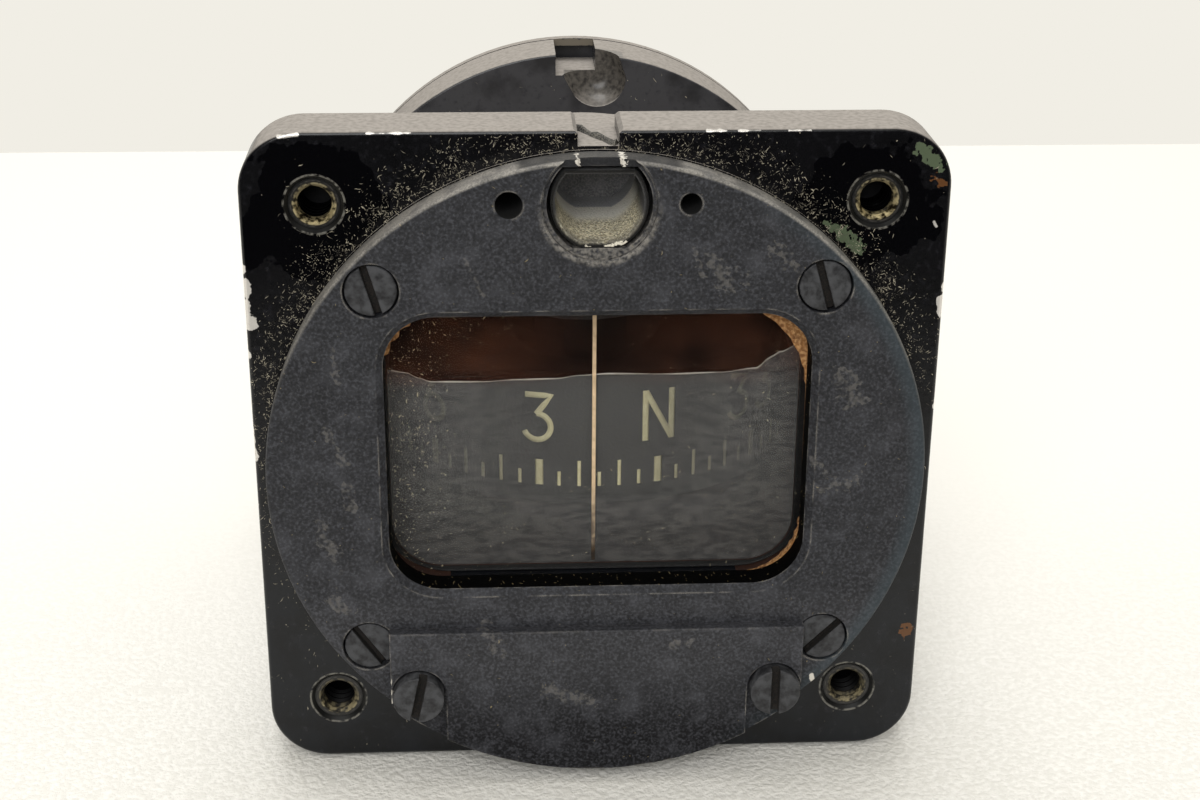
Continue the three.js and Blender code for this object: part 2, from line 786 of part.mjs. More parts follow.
function coverScrew() {
  return slottedScrew({
    headRadius: coverScrewHeadRadius,
    headHeight: coverScrewHeadHeight,
    chamfer: bezelChamfer / 2,
    radius: coverScrewRadius,
    length: coverScrewLength,
    slotWidth: coverScrewSlotWidth,
    slotDepth: coverScrewSlotDepth,
  });
}

// Compass card, drawn about its own vertical axis
function cardRing() {
  const inner = cardRadius - cardWall;
  return turnZ([
    [inner, -cardTop],
    [cardRadius, -cardTop],
    [cardRadius, cardTop],
    [cardRadius - cardLip, cardTop],
    [cardRadius - cardLip, cardTop - cardLipThick],
    [inner, cardTop - cardLipThick],
    [inner, -cardTop],
  ], largeSides);
}

function cardWeb() {
  const outer = cardRadius - cardWall - restGap;
  const bore = bellRadius + restGap;
  const disc = turnZ([
    [bore, webBottom], [outer, webBottom], [outer, webTop], [bore, webTop], [bore, webBottom],
  ]);
  const holes = Array.from({ length: webHoles }, (_, i) => {
    const angle = 2 * Math.PI * (i + 1 / 2) / webHoles;
    const hole = turnZ([
      [0, webBottom - overrun], [webHoleRadius, webBottom - overrun],
      [webHoleRadius, webTop + overrun], [0, webTop + overrun],
    ], tinySides);
    const circle = cardRadius - webHoleInset;
    return hole.translate([circle * Math.cos(angle), circle * Math.sin(angle), 0]);
  });
  return cutAll(disc, holes);
}

// Float open below, with a boss inside its crown for the pivot pin
function floatBell() {
  const domeSteps = 4;
  const domeBase = bellTop - bellDome;
  const dome = (inset) => Array.from({ length: domeSteps }, (_, i) => {
    const angle = Math.PI / 2 * i / domeSteps;
    return [(bellRadius - inset) * Math.cos(angle), domeBase + (bellDome - inset) * Math.sin(angle)];
  });
  const bore = pinRadius + runningGap;
  const bossBottom = bellTop - bellWall - bellBossLength;
  const flangeBottom = bellFlangeTop - bellWall;
  const innerDome = dome(bellWall).reverse();
  return turnZ([
    [0, bellTop - 2 * bellWall],
    [bore, bellTop - 2 * bellWall],
    [bore, bossBottom],
    [bellBossRadius, bossBottom],
    ...innerDome.filter(([radius]) => radius > bellBossRadius),
    [bellRadius - bellWall, flangeBottom],
    [bellRadius + bellFlange, flangeBottom],
    [bellRadius + bellFlange, bellFlangeTop],
    [bellRadius, bellFlangeTop],
    ...dome(0),
    [0, bellTop],
  ], smallSides);
}

function cardMagnet() {
  const half = cardMagnetSide / 2;
  return block(-half, half, -cardMagnetLength / 2, cardMagnetLength / 2,
    webBottom - restGap - cardMagnetSide, webBottom - restGap);
}

function pivotPin() {
  return turnZ([
    [0, pinTip], [pinRadius, pinTip + pinCone], [pinRadius, bellTop - 2 * bellWall - runningGap],
    [0, bellTop - 2 * bellWall - runningGap],
  ], tinySides);
}

// Post that carries the card, drawn about the same vertical axis
function postBase() {
  const low = -chamberFloor;
  const bore = postRadius + runningGap;
  const seat = low + baseThick / 2;
  return turnZ([
    [0, low],
    [baseRadius, low],
    [baseRadius, low + baseThick],
    [baseBossRadius, low + baseThick],
    [baseBossRadius, low + baseThick + baseBossHeight],
    [bore, low + baseThick + baseBossHeight],
    [bore, seat],
    [0, seat],
  ], tinySides);
}

function jewelPost() {
  const bottom = -chamberFloor + baseThick / 2;
  const socket = jewelRadius + runningGap;
  return turnZ([
    [0, bottom],
    [postRadius, bottom],
    [postRadius, postTop],
    [socket, postTop],
    [socket, jewelFloor],
    [0, jewelFloor],
  ], tinySides);
}

function jewelSpring() {
  return turnZ([
    [springWasherBore, jewelFloor],
    [jewelRadius, jewelFloor],
    [jewelRadius, jewelBottom],
    [springWasherBore, jewelBottom],
    [springWasherBore, jewelFloor],
  ], tinySides);
}

function jewelCup() {
  const top = jewelBottom + jewelHeight;
  return turnZ([
    [0, jewelBottom],
    [jewelRadius, jewelBottom],
    [jewelRadius, top],
    [jewelConeRadius, top],
    [0, top - jewelConeDepth],
  ], tinySides);
}

// Expansion diaphragm: a flat middle, ring waves and a clamped rim
function diaphragmProfile(offset) {
  const mid = recessFloor + rearGasketThick;
  const waveStart = diaphragmFlat;
  const waveEnd = recessRadius - diaphragmRim;
  const halfWaves = 2 * diaphragmWaves;
  const points = Array.from({ length: halfWaves + 1 }, (_, i) => {
    const dip = i % 2 === 1 ? -diaphragmWave : 0;
    return [waveStart + (waveEnd - waveStart) * i / halfWaves, mid + offset + dip];
  });
  return [...points, [recessRadius, mid + offset]];
}

function diaphragm() {
  const front = diaphragmProfile(0);
  const back = diaphragmProfile(diaphragmThick).reverse();
  const mid = recessFloor + rearGasketThick;
  return turnY([[0, mid], ...front, ...back, [0, mid + diaphragmThick]], diaphragmSides);
}

function diaphragmGasket() {
  return ringY(recessRadius - diaphragmRim + fitGap, recessRadius, recessFloor,
    recessFloor + rearGasketThick);
}

// Rear cover: a spigot clamps the diaphragm, the middle is dished for its travel
function rearCover() {
  const clamp = recessFloor + rearGasketThick + diaphragmThick;
  const dishRadius = recessRadius - diaphragmRim;
  const plate = turnY([
    [0, rearDiscBack + rearCoverDish],
    [dishRadius, rearDiscBack + rearCoverDish],
    [dishRadius, clamp],
    [recessRadius, clamp],
    [recessRadius, rearDiscBack],
    [rearDiscRadius, rearDiscBack],
    [rearDiscRadius, rearCoverBack - rearCoverChamfer],
    [rearDiscRadius - rearCoverChamfer, rearCoverBack],
    [0, rearCoverBack],
  ], largeSides);
  const floor = rearDiscRadius - rearSlotDepth;
  const screwHoles = rearScrewPlaces().map(([x, z]) =>
    rodY(rearScrewRadius + fitGap, rearDiscBack - overrun, rearCoverBack + overrun, x, z, tinySides));
  return cutAll(plate, [
    block(-rearSlotWidth / 2, rearSlotWidth / 2, rearDiscBack - overrun, rearDiscBack + rearWireRecessDepth,
      floor, floor + rearWireRecessHeight),
    rodY(ventRadius, rearDiscBack - overrun, rearCoverBack + overrun, 0, 0, tinySides),
    ...screwHoles,
  ]);
}

function rearScrew() {
  return slottedScrew({
    headRadius: rearScrewHeadRadius,
    headHeight: rearScrewHeadHeight,
    chamfer: rearCoverChamfer / 2,
    radius: rearScrewRadius,
    length: rearScrewLength,
    slotWidth: rearScrewSlotWidth,
    slotDepth: rearScrewSlotDepth,
  }, tinySides);
}

// Filler plug along X, with its slotted head outermost
function fillerPlug() {
  const seat = fillerBossReach + fillerWasherThick;
  const shank = rodX(fillerBore - fitGap, waistRadius + fillerInset, seat + fitGap, bowlCentre, fillerZ);
  const head = rodX(fillerHeadRadius, seat, seat + fillerHeadHeight, bowlCentre, fillerZ);
  const slot = block(seat + fillerHeadHeight - fillerSlotDepth, seat + fillerHeadHeight + overrun,
    bowlCentre - fillerSlotWidth / 2, bowlCentre + fillerSlotWidth / 2,
    fillerZ - fillerHeadRadius - overrun, fillerZ + fillerHeadRadius + overrun);
  return shank.add(head).subtract(slot);
}

function plugWasher() {
  const ring = rodX(fillerHeadRadius, fillerBossReach, fillerBossReach + fillerWasherThick,
    bowlCentre, fillerZ);
  return ring.subtract(rodX(fillerBore, fillerBossReach - overrun,
    fillerBossReach + fillerWasherThick + overrun, bowlCentre, fillerZ));
}

// Compensator frame: front and back plates on a rail, and two posts for the transverse shafts
function compensatorFrame() {
  const half = pocketHalfWidth - fitGap;
  const low = fitGap - pocketBottom;
  const high = -pocketTop - fitGap;
  const plateBack = frameFront + framePlate;
  const bearing = shaftRadius + runningGap;
  const postFront = crownPitchPlane + gearModule + restGap;
  const postTopZ = compensatorZ + framePostTop;
  const leftPost = -half;
  const midPost = eastWestIdleX - pitchRadius - postSide - restGap;
  const solids = [
    block(-half, half, frameFront, plateBack, low, high),
    block(-half, half, frameFront, frameBack, low, low + frameRail),
    block(-gearModule, half, frameBack - frameBackPlate, frameBack, low, high),
    block(leftPost, leftPost + framePost, postFront, postFront + framePostLength, low, postTopZ),
    block(midPost, midPost + framePost, postFront, postFront + framePostLength, low, postTopZ),
  ];
  const cutters = [
    rodY(bearing, frameFront - overrun, frameBack + overrun, eastWestX, compensatorZ, tinySides),
    rodY(bearing, frameFront - overrun, frameBack + overrun, eastWestIdleX, compensatorZ, tinySides),
    rodY(bearing, frameFront - overrun, plateBack + overrun, northSouthX, compensatorZ, tinySides),
    rodX(bearing, -half - overrun, midPost + framePost + overrun, transverseY, compensatorZ, tinySides),
    rodX(bearing, -half - overrun, midPost + framePost + overrun, transverseIdleY, compensatorZ,
      tinySides),
  ];
  const envelope = extrudeY(roundedShape(-half, half, low, high, pocketCorner - fitGap),
    frameFront, frameBack, 0, cornerSteps);
  return cutAll(joinAll(solids).intersect(envelope), cutters);
}

// Adjusting shaft along Y, drawn about its own axis from the front plate of the frame
function adjuster(length) {
  return slottedScrew({
    headRadius: adjusterHeadRadius,
    headHeight: adjusterHeadHeight,
    chamfer: coverChamfer,
    radius: shaftRadius,
    length,
    slotWidth: adjusterSlotWidth,
    slotDepth: adjusterSlotDepth,
  }, tinySides);
}

// Outline of a small gear, as radius and angle turned about its centre
function gearShape() {
  const root = pitchRadius - toothDedendumShare * gearModule;
  const tip = pitchRadius + toothAddendumShare * gearModule;
  const pitch = 2 * Math.PI / gearTeeth;
  const points = Array.from({ length: gearTeeth }, (_, i) => {
    const centre = i * pitch;
    return [
      [root, centre - toothRootShare * pitch],
      [tip, centre - toothTipShare * pitch],
      [tip, centre + toothTipShare * pitch],
      [root, centre + toothRootShare * pitch],
    ];
  }).flat();
  return new THREE.Shape(points.map(([radius, angle]) =>
    new THREE.Vector2(radius * Math.cos(angle), radius * Math.sin(angle))));
}

// Gear about Y, drawn about its own axis, its front face at y = 0
function spurGear() {
  const bore = rodY(shaftRadius + pressGap, -overrun, gearThick + overrun, 0, 0, tinySides);
  return extrudeY(gearShape(), 0, gearThick).subtract(bore);
}

// Crown wheel: a disc with teeth that stand up from its rear face
function crownWheel() {
  const inner = pitchRadius - crownToothWidth / 2;
  const outer = pitchRadius + crownToothWidth / 2;
  const disc = ringY(shaftRadius + pressGap, outer, 0, crownDiscThick, gearTeeth);
  const toothPitch = 2 * Math.PI * pitchRadius / gearTeeth;
  const rootHalf = crownToothRootShare * toothPitch;
  const tipHalf = crownToothTipShare * toothPitch;
  const tip = crownDiscThick + gearModule * (1 + toothAddendumShare);
  const sink = crownDiscThick / 2;
  const shape = new THREE.Shape([
    new THREE.Vector2(-rootHalf, -sink),
    new THREE.Vector2(rootHalf, -sink),
    new THREE.Vector2(rootHalf, 0),
    new THREE.Vector2(tipHalf, tip - crownDiscThick),
    new THREE.Vector2(-tipHalf, tip - crownDiscThick),
    new THREE.Vector2(-rootHalf, 0),
  ]);
  const tooth = new THREE.ExtrudeGeometry(shape, { depth: crownToothWidth, bevelEnabled: false });
  tooth.rotateY(Math.PI / 2);
  tooth.translate(inner, crownDiscThick, 0);
  const teeth = Array.from({ length: gearTeeth }, (_, i) =>
    toSolid(tooth.clone().rotateY(2 * Math.PI * i / gearTeeth)));
  return joinAll([disc, ...teeth]);
}

// Bar magnet for a shaft along Y, drawn about that axis, its front face at y = 0
function compensatorMagnet() {
  const half = compensatorMagnetLength / 2;
  const rise = compensatorMagnetHeight / 2;
  const bar = block(-half, half, 0, compensatorMagnetThick, -rise, rise);
  return bar.subtract(
    rodY(shaftRadius + pressGap, -overrun, compensatorMagnetThick + overrun, 0, 0, tinySides));
}

// Shaft drawn along Y from y = 0
function plainShaft(length) {
  return rodY(shaftRadius, 0, length, 0, 0, tinySides);
}

// Finishes, by piece
const finishes = {
  casting: { color: 0x16161a, roughness: 0.35, metalness: 0.1 },
  bezel: { color: 0x3a3a3e, roughness: 0.7, metalness: 0.1 },
  glass: { color: 0xdfe6e2, roughness: 0.05, metalness: 0, transparent: true, opacity: 0.3 },
  cork: { color: 0x71552f, roughness: 0.95, metalness: 0 },
  rubber: { color: 0x151515, roughness: 0.9, metalness: 0 },
  paint: { color: 0xc9a27a, roughness: 0.6, metalness: 0 },
  sleeve: { color: 0x8d8773, roughness: 0.85, metalness: 0 },
  screw: { color: 0x242427, roughness: 0.5, metalness: 0.7 },
  brass: { color: 0xa98a4e, roughness: 0.4, metalness: 1 },
  card: { color: 0x232326, roughness: 0.7, metalness: 0.1 },
  aluminium: { color: 0xa9abae, roughness: 0.45, metalness: 1 },
  magnet: { color: 0x55565b, roughness: 0.4, metalness: 1 },
  jewel: { color: 0x9a2140, roughness: 0.1, metalness: 0 },
  steel: { color: 0x8f9297, roughness: 0.35, metalness: 1 },
};

function piece(name, solid, finish) {
  const mesh = new THREE.Mesh(toGeometry(solid), new THREE.MeshStandardMaterial(finishes[finish]));
  mesh.name = name;
  return mesh;
}

function placed(mesh, x, y, z) {
  mesh.position.set(x, y, z);
  return mesh;
}

// Case, bezel and what they hold
function caseGroup() {
  const group = new THREE.Group();
  group.add(
    piece('case_casting', caseCasting(), 'casting'),
    piece('front_bezel', frontBezel(), 'bezel'),
    piece('window_glass', windowGlass(), 'glass'),
    piece('window_gasket', windowGasket(), 'cork'),
    piece('glass_seal', glassSeal(), 'rubber'),
    piece('lubber_line', lubberLine(), 'paint'),
    piece('lamp_sleeve', lampSleeve(), 'sleeve'),
    piece('compensator_cover', compensatorCover(), 'bezel'),
    piece('filler_plug', fillerPlug(), 'brass'),
    piece('plug_washer', plugWasher(), 'rubber'),
  );
  mountPlaces().forEach(([x, z], i) => {
    group.add(placed(piece(`mount_insert_${i + 1}`, mountInsert(), 'brass'), x, 0, z));
  });
  return group;
}

// Screws of the front, each with its slot turned as it was left
const bezelScrewTurns = [-16, -16, -35, 45].map(THREE.MathUtils.degToRad);
const coverScrewTurns = [12, 0].map(THREE.MathUtils.degToRad);

function frontScrews() {
  const group = new THREE.Group();
  const underBezelHead = bezelFront + bezelScrewSink + bezelScrewHeadHeight;
  bezelScrewPlaces().forEach(([x, z], i) => {
    const screw = placed(piece(`bezel_screw_${i + 1}`, bezelScrew(), 'screw'), x, underBezelHead, z);
    screw.rotation.y = bezelScrewTurns[i];
    group.add(screw);
  });
  const underCoverHead = coverScrewFront + coverScrewHeadHeight;
  coverScrewPlaces().forEach(([x, z], i) => {
    const screw = placed(piece(`cover_screw_${i + 1}`, coverScrew(), 'screw'), x, underCoverHead, z);
    screw.rotation.y = coverScrewTurns[i];
    group.add(screw);
  });
  return group;
}

function cardGroup() {
  const group = new THREE.Group();
  group.add(
    piece('card_ring', cardRing(), 'card'),
    piece('card_web', cardWeb(), 'card'),
    piece('float_bell', floatBell(), 'card'),
    placed(piece('card_magnet_left', cardMagnet(), 'magnet'), -cardMagnetX, 0, 0),
    placed(piece('card_magnet_right', cardMagnet(), 'magnet'), cardMagnetX, 0, 0),
    piece('pivot_pin', pivotPin(), 'steel'),
  );
  group.rotation.z = -cardHeading;
  return placed(group, 0, bowlCentre, 0);
}

function pivotGroup() {
  const group = new THREE.Group();
  group.add(
    piece('post_base', postBase(), 'aluminium'),
    piece('jewel_post', jewelPost(), 'brass'),
    piece('jewel_spring', jewelSpring(), 'steel'),
    piece('jewel_cup', jewelCup(), 'jewel'),
  );
  return placed(group, 0, bowlCentre, 0);
}

function rearGroup() {
  const group = new THREE.Group();
  group.add(
    piece('diaphragm_gasket', diaphragmGasket(), 'rubber'),
    piece('diaphragm', diaphragm(), 'brass'),
    piece('rear_cover', rearCover(), 'casting'),
  );
  rearScrewPlaces().forEach(([x, z], i) => {
    const screw = placed(piece(`rear_screw_${i + 1}`, rearScrew(), 'screw'), x, rearCoverBack, z);
    screw.rotation.set(0, 0, Math.PI);
    group.add(screw);
  });
  return group;
}

// Pair of magnets along the Y shafts, geared one to one
function eastWestGroup() {
  const group = new THREE.Group();
  const shaftLength = frameBack - frameFront;
  const idleShaft = placed(
    piece('east_west_idle_shaft', plainShaft(shaftLength), 'steel'), eastWestIdleX, frameFront, 0);
  const idleGear = placed(piece('east_west_idle_gear', spurGear(), 'brass'),
    eastWestIdleX, eastWestGearFront, 0);
  idleGear.rotation.y = Math.PI / gearTeeth;
  group.add(
    placed(piece('east_west_adjuster', adjuster(shaftLength), 'brass'), eastWestX, frameFront, 0),
    placed(piece('east_west_drive_gear', spurGear(), 'brass'), eastWestX, eastWestGearFront, 0),
    placed(piece('east_west_magnet', compensatorMagnet(), 'magnet'),
      eastWestX, eastWestMagnetFront, 0),
    idleShaft,
    idleGear,
    placed(piece('east_west_idle_magnet', compensatorMagnet(), 'magnet'),
      eastWestIdleX, eastWestMagnetFront + magnetStep, 0),
  );
  return placed(group, 0, 0, compensatorZ);
}

// Transverse shaft group: a piece drawn along Y is turned to lie along X
function alongX(mesh, x, y) {
  mesh.rotation.z = -Math.PI / 2;
  return placed(mesh, x, y, 0);
}

function northSouthGroup() {
  const group = new THREE.Group();
  const left = fitGap - pocketHalfWidth;
  const right = eastWestIdleX - pitchRadius - postSide - restGap + framePost;
  const gearLeft = pinionX - gearThick / 2;
  const crown = placed(
    piece('north_south_crown_wheel', crownWheel(), 'brass'), northSouthX, crownDiscFront, 0);
  crown.rotation.y = Math.PI / gearTeeth;
  const idleGear = placed(
    piece('north_south_idle_gear', spurGear(), 'brass'), gearLeft, transverseIdleY, 0);
  idleGear.rotation.set(Math.PI / gearTeeth, 0, -Math.PI / 2);
  group.add(
    placed(piece('north_south_adjuster', adjuster(crownDiscFront + crownDiscThick - frameFront),
      'brass'), northSouthX, frameFront, 0),
    crown,
    alongX(piece('north_south_pinion', spurGear(), 'brass'), gearLeft, transverseY),
    alongX(piece('north_south_shaft', plainShaft(right - left), 'steel'), left, transverseY),
    alongX(piece('north_south_magnet', compensatorMagnet(), 'magnet'),
      gearLeft + gearThick + transverseMagnetGap, transverseY),
    alongX(piece('north_south_idle_shaft', plainShaft(right - left), 'steel'), left, transverseIdleY),
    idleGear,
    alongX(piece('north_south_idle_magnet', compensatorMagnet(), 'magnet'),
      gearLeft - transverseMagnetGap - compensatorMagnetThick, transverseIdleY),
  );
  return placed(group, 0, 0, compensatorZ);
}

const compass = new THREE.Group();
compass.add(
  caseGroup(),
  frontScrews(),
  cardGroup(),
  pivotGroup(),
  rearGroup(),
  piece('compensator_frame', compensatorFrame(), 'aluminium'),
  eastWestGroup(),
  northSouthGroup(),
);
compass.position.set(0, -(coverScrewFront + rearScrewBack) / 2, flangeSide / 2);

export default compass;
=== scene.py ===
"""Looks of a panel-mounted magnetic compass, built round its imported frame.

Shapes are drawn in millimetres in the instrument's own axes: X to the right, Y from the dial to
the back and Z up, with the origin on the instrument's axis at the seat of the bezel. A finished
piece is brought into the frame, in metres, by one transform.
"""

import json
import logging
import math
from dataclasses import dataclass
from enum import Enum
from functools import cached_property, partial
from typing import Callable, Iterable, Sequence

import bmesh
import bpy
from mathutils import Matrix, Vector

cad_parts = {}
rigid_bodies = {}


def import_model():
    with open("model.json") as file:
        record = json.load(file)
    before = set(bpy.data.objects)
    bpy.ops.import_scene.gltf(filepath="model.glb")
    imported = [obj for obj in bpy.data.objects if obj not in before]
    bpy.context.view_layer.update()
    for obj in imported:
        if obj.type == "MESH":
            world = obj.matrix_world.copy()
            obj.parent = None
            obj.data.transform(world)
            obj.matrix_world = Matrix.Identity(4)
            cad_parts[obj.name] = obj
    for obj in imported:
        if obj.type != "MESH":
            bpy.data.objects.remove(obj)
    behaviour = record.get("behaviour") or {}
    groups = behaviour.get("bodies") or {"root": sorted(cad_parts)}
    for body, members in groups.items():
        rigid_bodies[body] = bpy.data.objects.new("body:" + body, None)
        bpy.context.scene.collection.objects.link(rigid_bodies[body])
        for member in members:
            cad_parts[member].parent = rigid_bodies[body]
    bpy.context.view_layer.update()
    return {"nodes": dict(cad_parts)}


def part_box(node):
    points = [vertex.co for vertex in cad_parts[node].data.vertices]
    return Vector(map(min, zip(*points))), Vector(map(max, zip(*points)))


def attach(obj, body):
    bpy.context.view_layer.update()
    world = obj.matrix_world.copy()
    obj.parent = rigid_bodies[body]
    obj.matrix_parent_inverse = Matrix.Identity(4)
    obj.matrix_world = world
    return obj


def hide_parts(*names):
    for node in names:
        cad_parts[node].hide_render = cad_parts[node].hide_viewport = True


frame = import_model()

log = logging.getLogger("compass")
logging.basicConfig(level=logging.INFO, format="%(message)s")

MM = 0.001
CASTING_LOW, CASTING_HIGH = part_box("case_casting")
ORIGIN = Vector((0, CASTING_LOW.y, (CASTING_LOW.z + CASTING_HIGH.z) / 2))
TO_FRAME = Matrix.Translation(ORIGIN) @ Matrix.Scale(MM, 4)
# In millimetres: how far a cutter runs past a face, the play of fitted pieces, the distance at
# which points merge, the length below which an edge goes, and the slack of a test on a place
OVERRUN = 1.0
FIT_GAP = 0.1
WELD = 0.0005
SLIVER = 0.0002
NEAR = 0.05

Pair = tuple[float, float]
Point = Pair
Place = tuple[float, float, float]
Outline = Sequence[Point]
Stroke = tuple[list[Point], float]
Socket = bpy.types.NodeSocket
Feed = Socket | float
Hue = Socket | str


class Body(Enum):
    """Bodies of the frame that pieces ride on."""

    CASE = "case"
    CARD = "card"


class Operation(Enum):
    """Ways in which one solid works on another."""

    CUT = "DIFFERENCE"
    JOIN = "UNION"
    KEEP = "INTERSECT"


@dataclass(frozen=True)
class Mark:
    """Chip, scuff or stain between two points of the front, in millimetres of X and Z."""

    start: Point
    end: Point
    width: float
    ragged: float = 0.3
    grain: float = 1.2
    soft: float = 0.05


@dataclass(frozen=True)
class Cloud:
    """Noise that brings in a colour: its size in millimetres, its cut, its octaves and its share."""

    colour: str
    size: float
    low: float
    high: float
    detail: float = 3.0
    share: float = 1.0


@dataclass(frozen=True)
class FleckLayer:
    """Fibres that lie one way: turn in radians, spacing, half width and stretch in millimetres."""

    turn: float
    spacing: float
    width: float
    length: float


FLECK_LAYERS = (
    FleckLayer(0.2, 0.14, 0.036, 6.0), FleckLayer(0.9, 0.16, 0.034, 8.0), FleckLayer(1.7, 0.15, 0.036, 5.5),
    FleckLayer(2.5, 0.155, 0.034, 7.0), FleckLayer(0.0, 0.14, 0.046, 1.3),
)


def linear(colour: str) -> tuple[float, float, float, float]:
    """Turns an sRGB hex colour into linear red, green, blue and alpha.

    Args:
        colour: Hex digits, such as "#3A3A3E".

    Returns:
        The linear colour with an alpha of one.
    """
    parts = [int(colour[i:i + 2], 16) / 255 for i in (1, 3, 5)]
    toned = [p / 12.92 if p <= 0.04045 else ((p + 0.055) / 1.055) ** 2.4 for p in parts]
    return (*toned, 1.0)


def in_scene(name: str, data: bpy.types.ID) -> bpy.types.Object:
    """Shows some data in the scene.

    Args:
        name: Name of the object.
        data: Its mesh, lamp or camera.

    Returns:
        The new object.
    """
    made = bpy.data.objects.new(name, data)
    bpy.context.scene.collection.objects.link(made)
    return made


class Nodes:
    """The node tree of one material or world, and its coordinates in millimetres."""

    def __init__(self, tree: bpy.types.NodeTree) -> None:
        """Takes a tree to write and empties it."""
        self.tree = tree
        tree.nodes.clear()

    def add(self, kind: str, feeds: dict | None = None, out: int | str = 0, **settings: object) -> Socket:
        """Adds one node with its settings and links.

        Args:
            kind: Node type without its ShaderNode prefix.
            feeds: Value or source socket for each input, by name or number.
            out: Output to return, by name or number.
            **settings: Properties of the node.

        Returns:
            The chosen output, or None for an output node.
        """
        node = self.tree.nodes.new("ShaderNode" + kind)
        for name, value in settings.items():
            setattr(node, name, value)
        for key, value in (feeds or {}).items():
            if isinstance(value, bpy.types.NodeSocket):
                self.tree.links.new(value, node.inputs[key])
            else:
                node.inputs[key].default_value = value
        return node.outputs[out] if len(node.outputs) else None

    @cached_property
    def place(self) -> Socket:
        """Makes the coordinates of the material.

        Returns:
            The point on the surface in instrument millimetres.
        """
        point = self.add("TexCoord", out="Object")
        moved = self.add("VectorMath", {0: point, 1: ORIGIN}, operation="SUBTRACT")
        return self.add("VectorMath", {0: moved, "Scale": 1 / MM}, operation="SCALE")

    @cached_property
    def facing(self) -> Socket:
        """Returns the way the surface faces."""
        return self.add("NewGeometry", out="Normal")

    def split(self, vector: Socket) -> Sequence[Socket]:
        """Returns a vector's three parts: across, deep and high."""
        return self.add("SeparateXYZ", {0: vector}).node.outputs

    def math(self, operation: str, a: Feed, b: Feed, clamp: bool = True) -> Socket:
        """Returns a sum, power or other figure of two values."""
        return self.add("Math", {0: a, 1: b}, operation=operation, use_clamp=clamp)

    def product(self, *factors: Feed) -> Feed:
        """Multiplies values, each step clamped to one.

        Args:
            *factors: Sockets or numbers.

        Returns:
            Their product.
        """
        total = factors[0]
        for factor in factors[1:]:
            total = self.math("MULTIPLY", total, factor)
        return total

    def ramp(self, value: Socket, low: float, high: float) -> Socket:
        """Returns value brought to zero at low and to one at high, with soft ends."""
        return self.add("MapRange", {"Value": value, "From Min": low, "From Max": high},
                        interpolation_type="SMOOTHSTEP")

    def band(self, value: Socket, start: float, full: float, last: float, end: float) -> Socket:
        """Returns one between full and last, and zero before start and after end."""
        return self.product(self.ramp(value, start, full), self.ramp(value, end, last))

    def level(self, value: Socket, at_low: float, at_high: float, low: float = 0.0, high: float = 1.0,
              clamp: bool = True) -> Socket:
        """Returns a value carried evenly from low and high to what it becomes there."""
        return self.add("MapRange", {"Value": value, "From Min": low, "From Max": high,
                                     "To Min": at_low, "To Max": at_high}, clamp=clamp)

    def noise(self, size: float, low: float, high: float, detail: float = 3.0,
              place: Socket | None = None) -> Socket:
        """Returns clouds of a size in millimetres, zero at the low noise value and one at the high."""
        raw = self.add("TexNoise", {"Vector": place or self.place, "Scale": 1 / size, "Detail": detail})
        return self.ramp(raw, low, high)

    def blend(self, share: Feed, under: Hue, over: Hue) -> Socket:
        """Lays one colour over another.

        Args:
            share: How much of the upper colour shows.
            under: Lower colour, as a socket or sRGB hex.
            over: Upper colour, as a socket or sRGB hex.

        Returns:
            The mixed colour.
        """
        lower = linear(under) if isinstance(under, str) else under
        upper = linear(over) if isinstance(over, str) else over
        return self.add("Mix", {0: share, 6: lower, 7: upper}, out=2, data_type="RGBA")

    def coat(self, under: Hue, over: Hue, *shares: Feed) -> Socket:
        """Returns a colour laid over another as far as all the shares allow."""
        return self.blend(self.product(*shares), under, over)

    def clouded(self, base: Hue, *clouds: Cloud) -> Hue:
        """Lays clouds of colour over a base, one after another.

        Args:
            base: Colour below them.
            *clouds: The clouds, lowest first.

        Returns:
            The mixed colour.
        """
        for row in clouds:
            patch = self.noise(row.size, row.low, row.high, row.detail)
            base = self.coat(base, row.colour, patch, row.share)
        return base

    def relief(self, height: Socket, strength: Feed, distance: float) -> Socket:
        """Returns normals raised by a pattern, with its full height in millimetres."""
        return self.add("Bump", {"Height": height, "Strength": strength, "Distance": distance * MM})

    def flat_length(self, vector: Socket) -> Socket:
        """Returns the length of a vector without its part along Y."""
        flat = self.add("VectorMath", {0: vector, 1: (1, 0, 1)}, operation="MULTIPLY")
        return self.add("VectorMath", {0: flat}, out="Value", operation="LENGTH")

    def reach(self, x: float = 0.0, z: float = 0.0, place: Socket | None = None) -> Socket:
        """Returns the distance from a line along Y, in millimetres."""
        moved = self.add("VectorMath", {0: place or self.place, 1: (x, 0, z)}, operation="SUBTRACT")
        return self.flat_length(moved)

    def from_mount(self) -> Socket:
        """Returns the distance from the axis of the nearest mounting insert, in millimetres."""
        folded = self.add("VectorMath", {0: self.place}, operation="ABSOLUTE")
        return self.reach(PLACES.mount_half, PLACES.mount_half, folded)

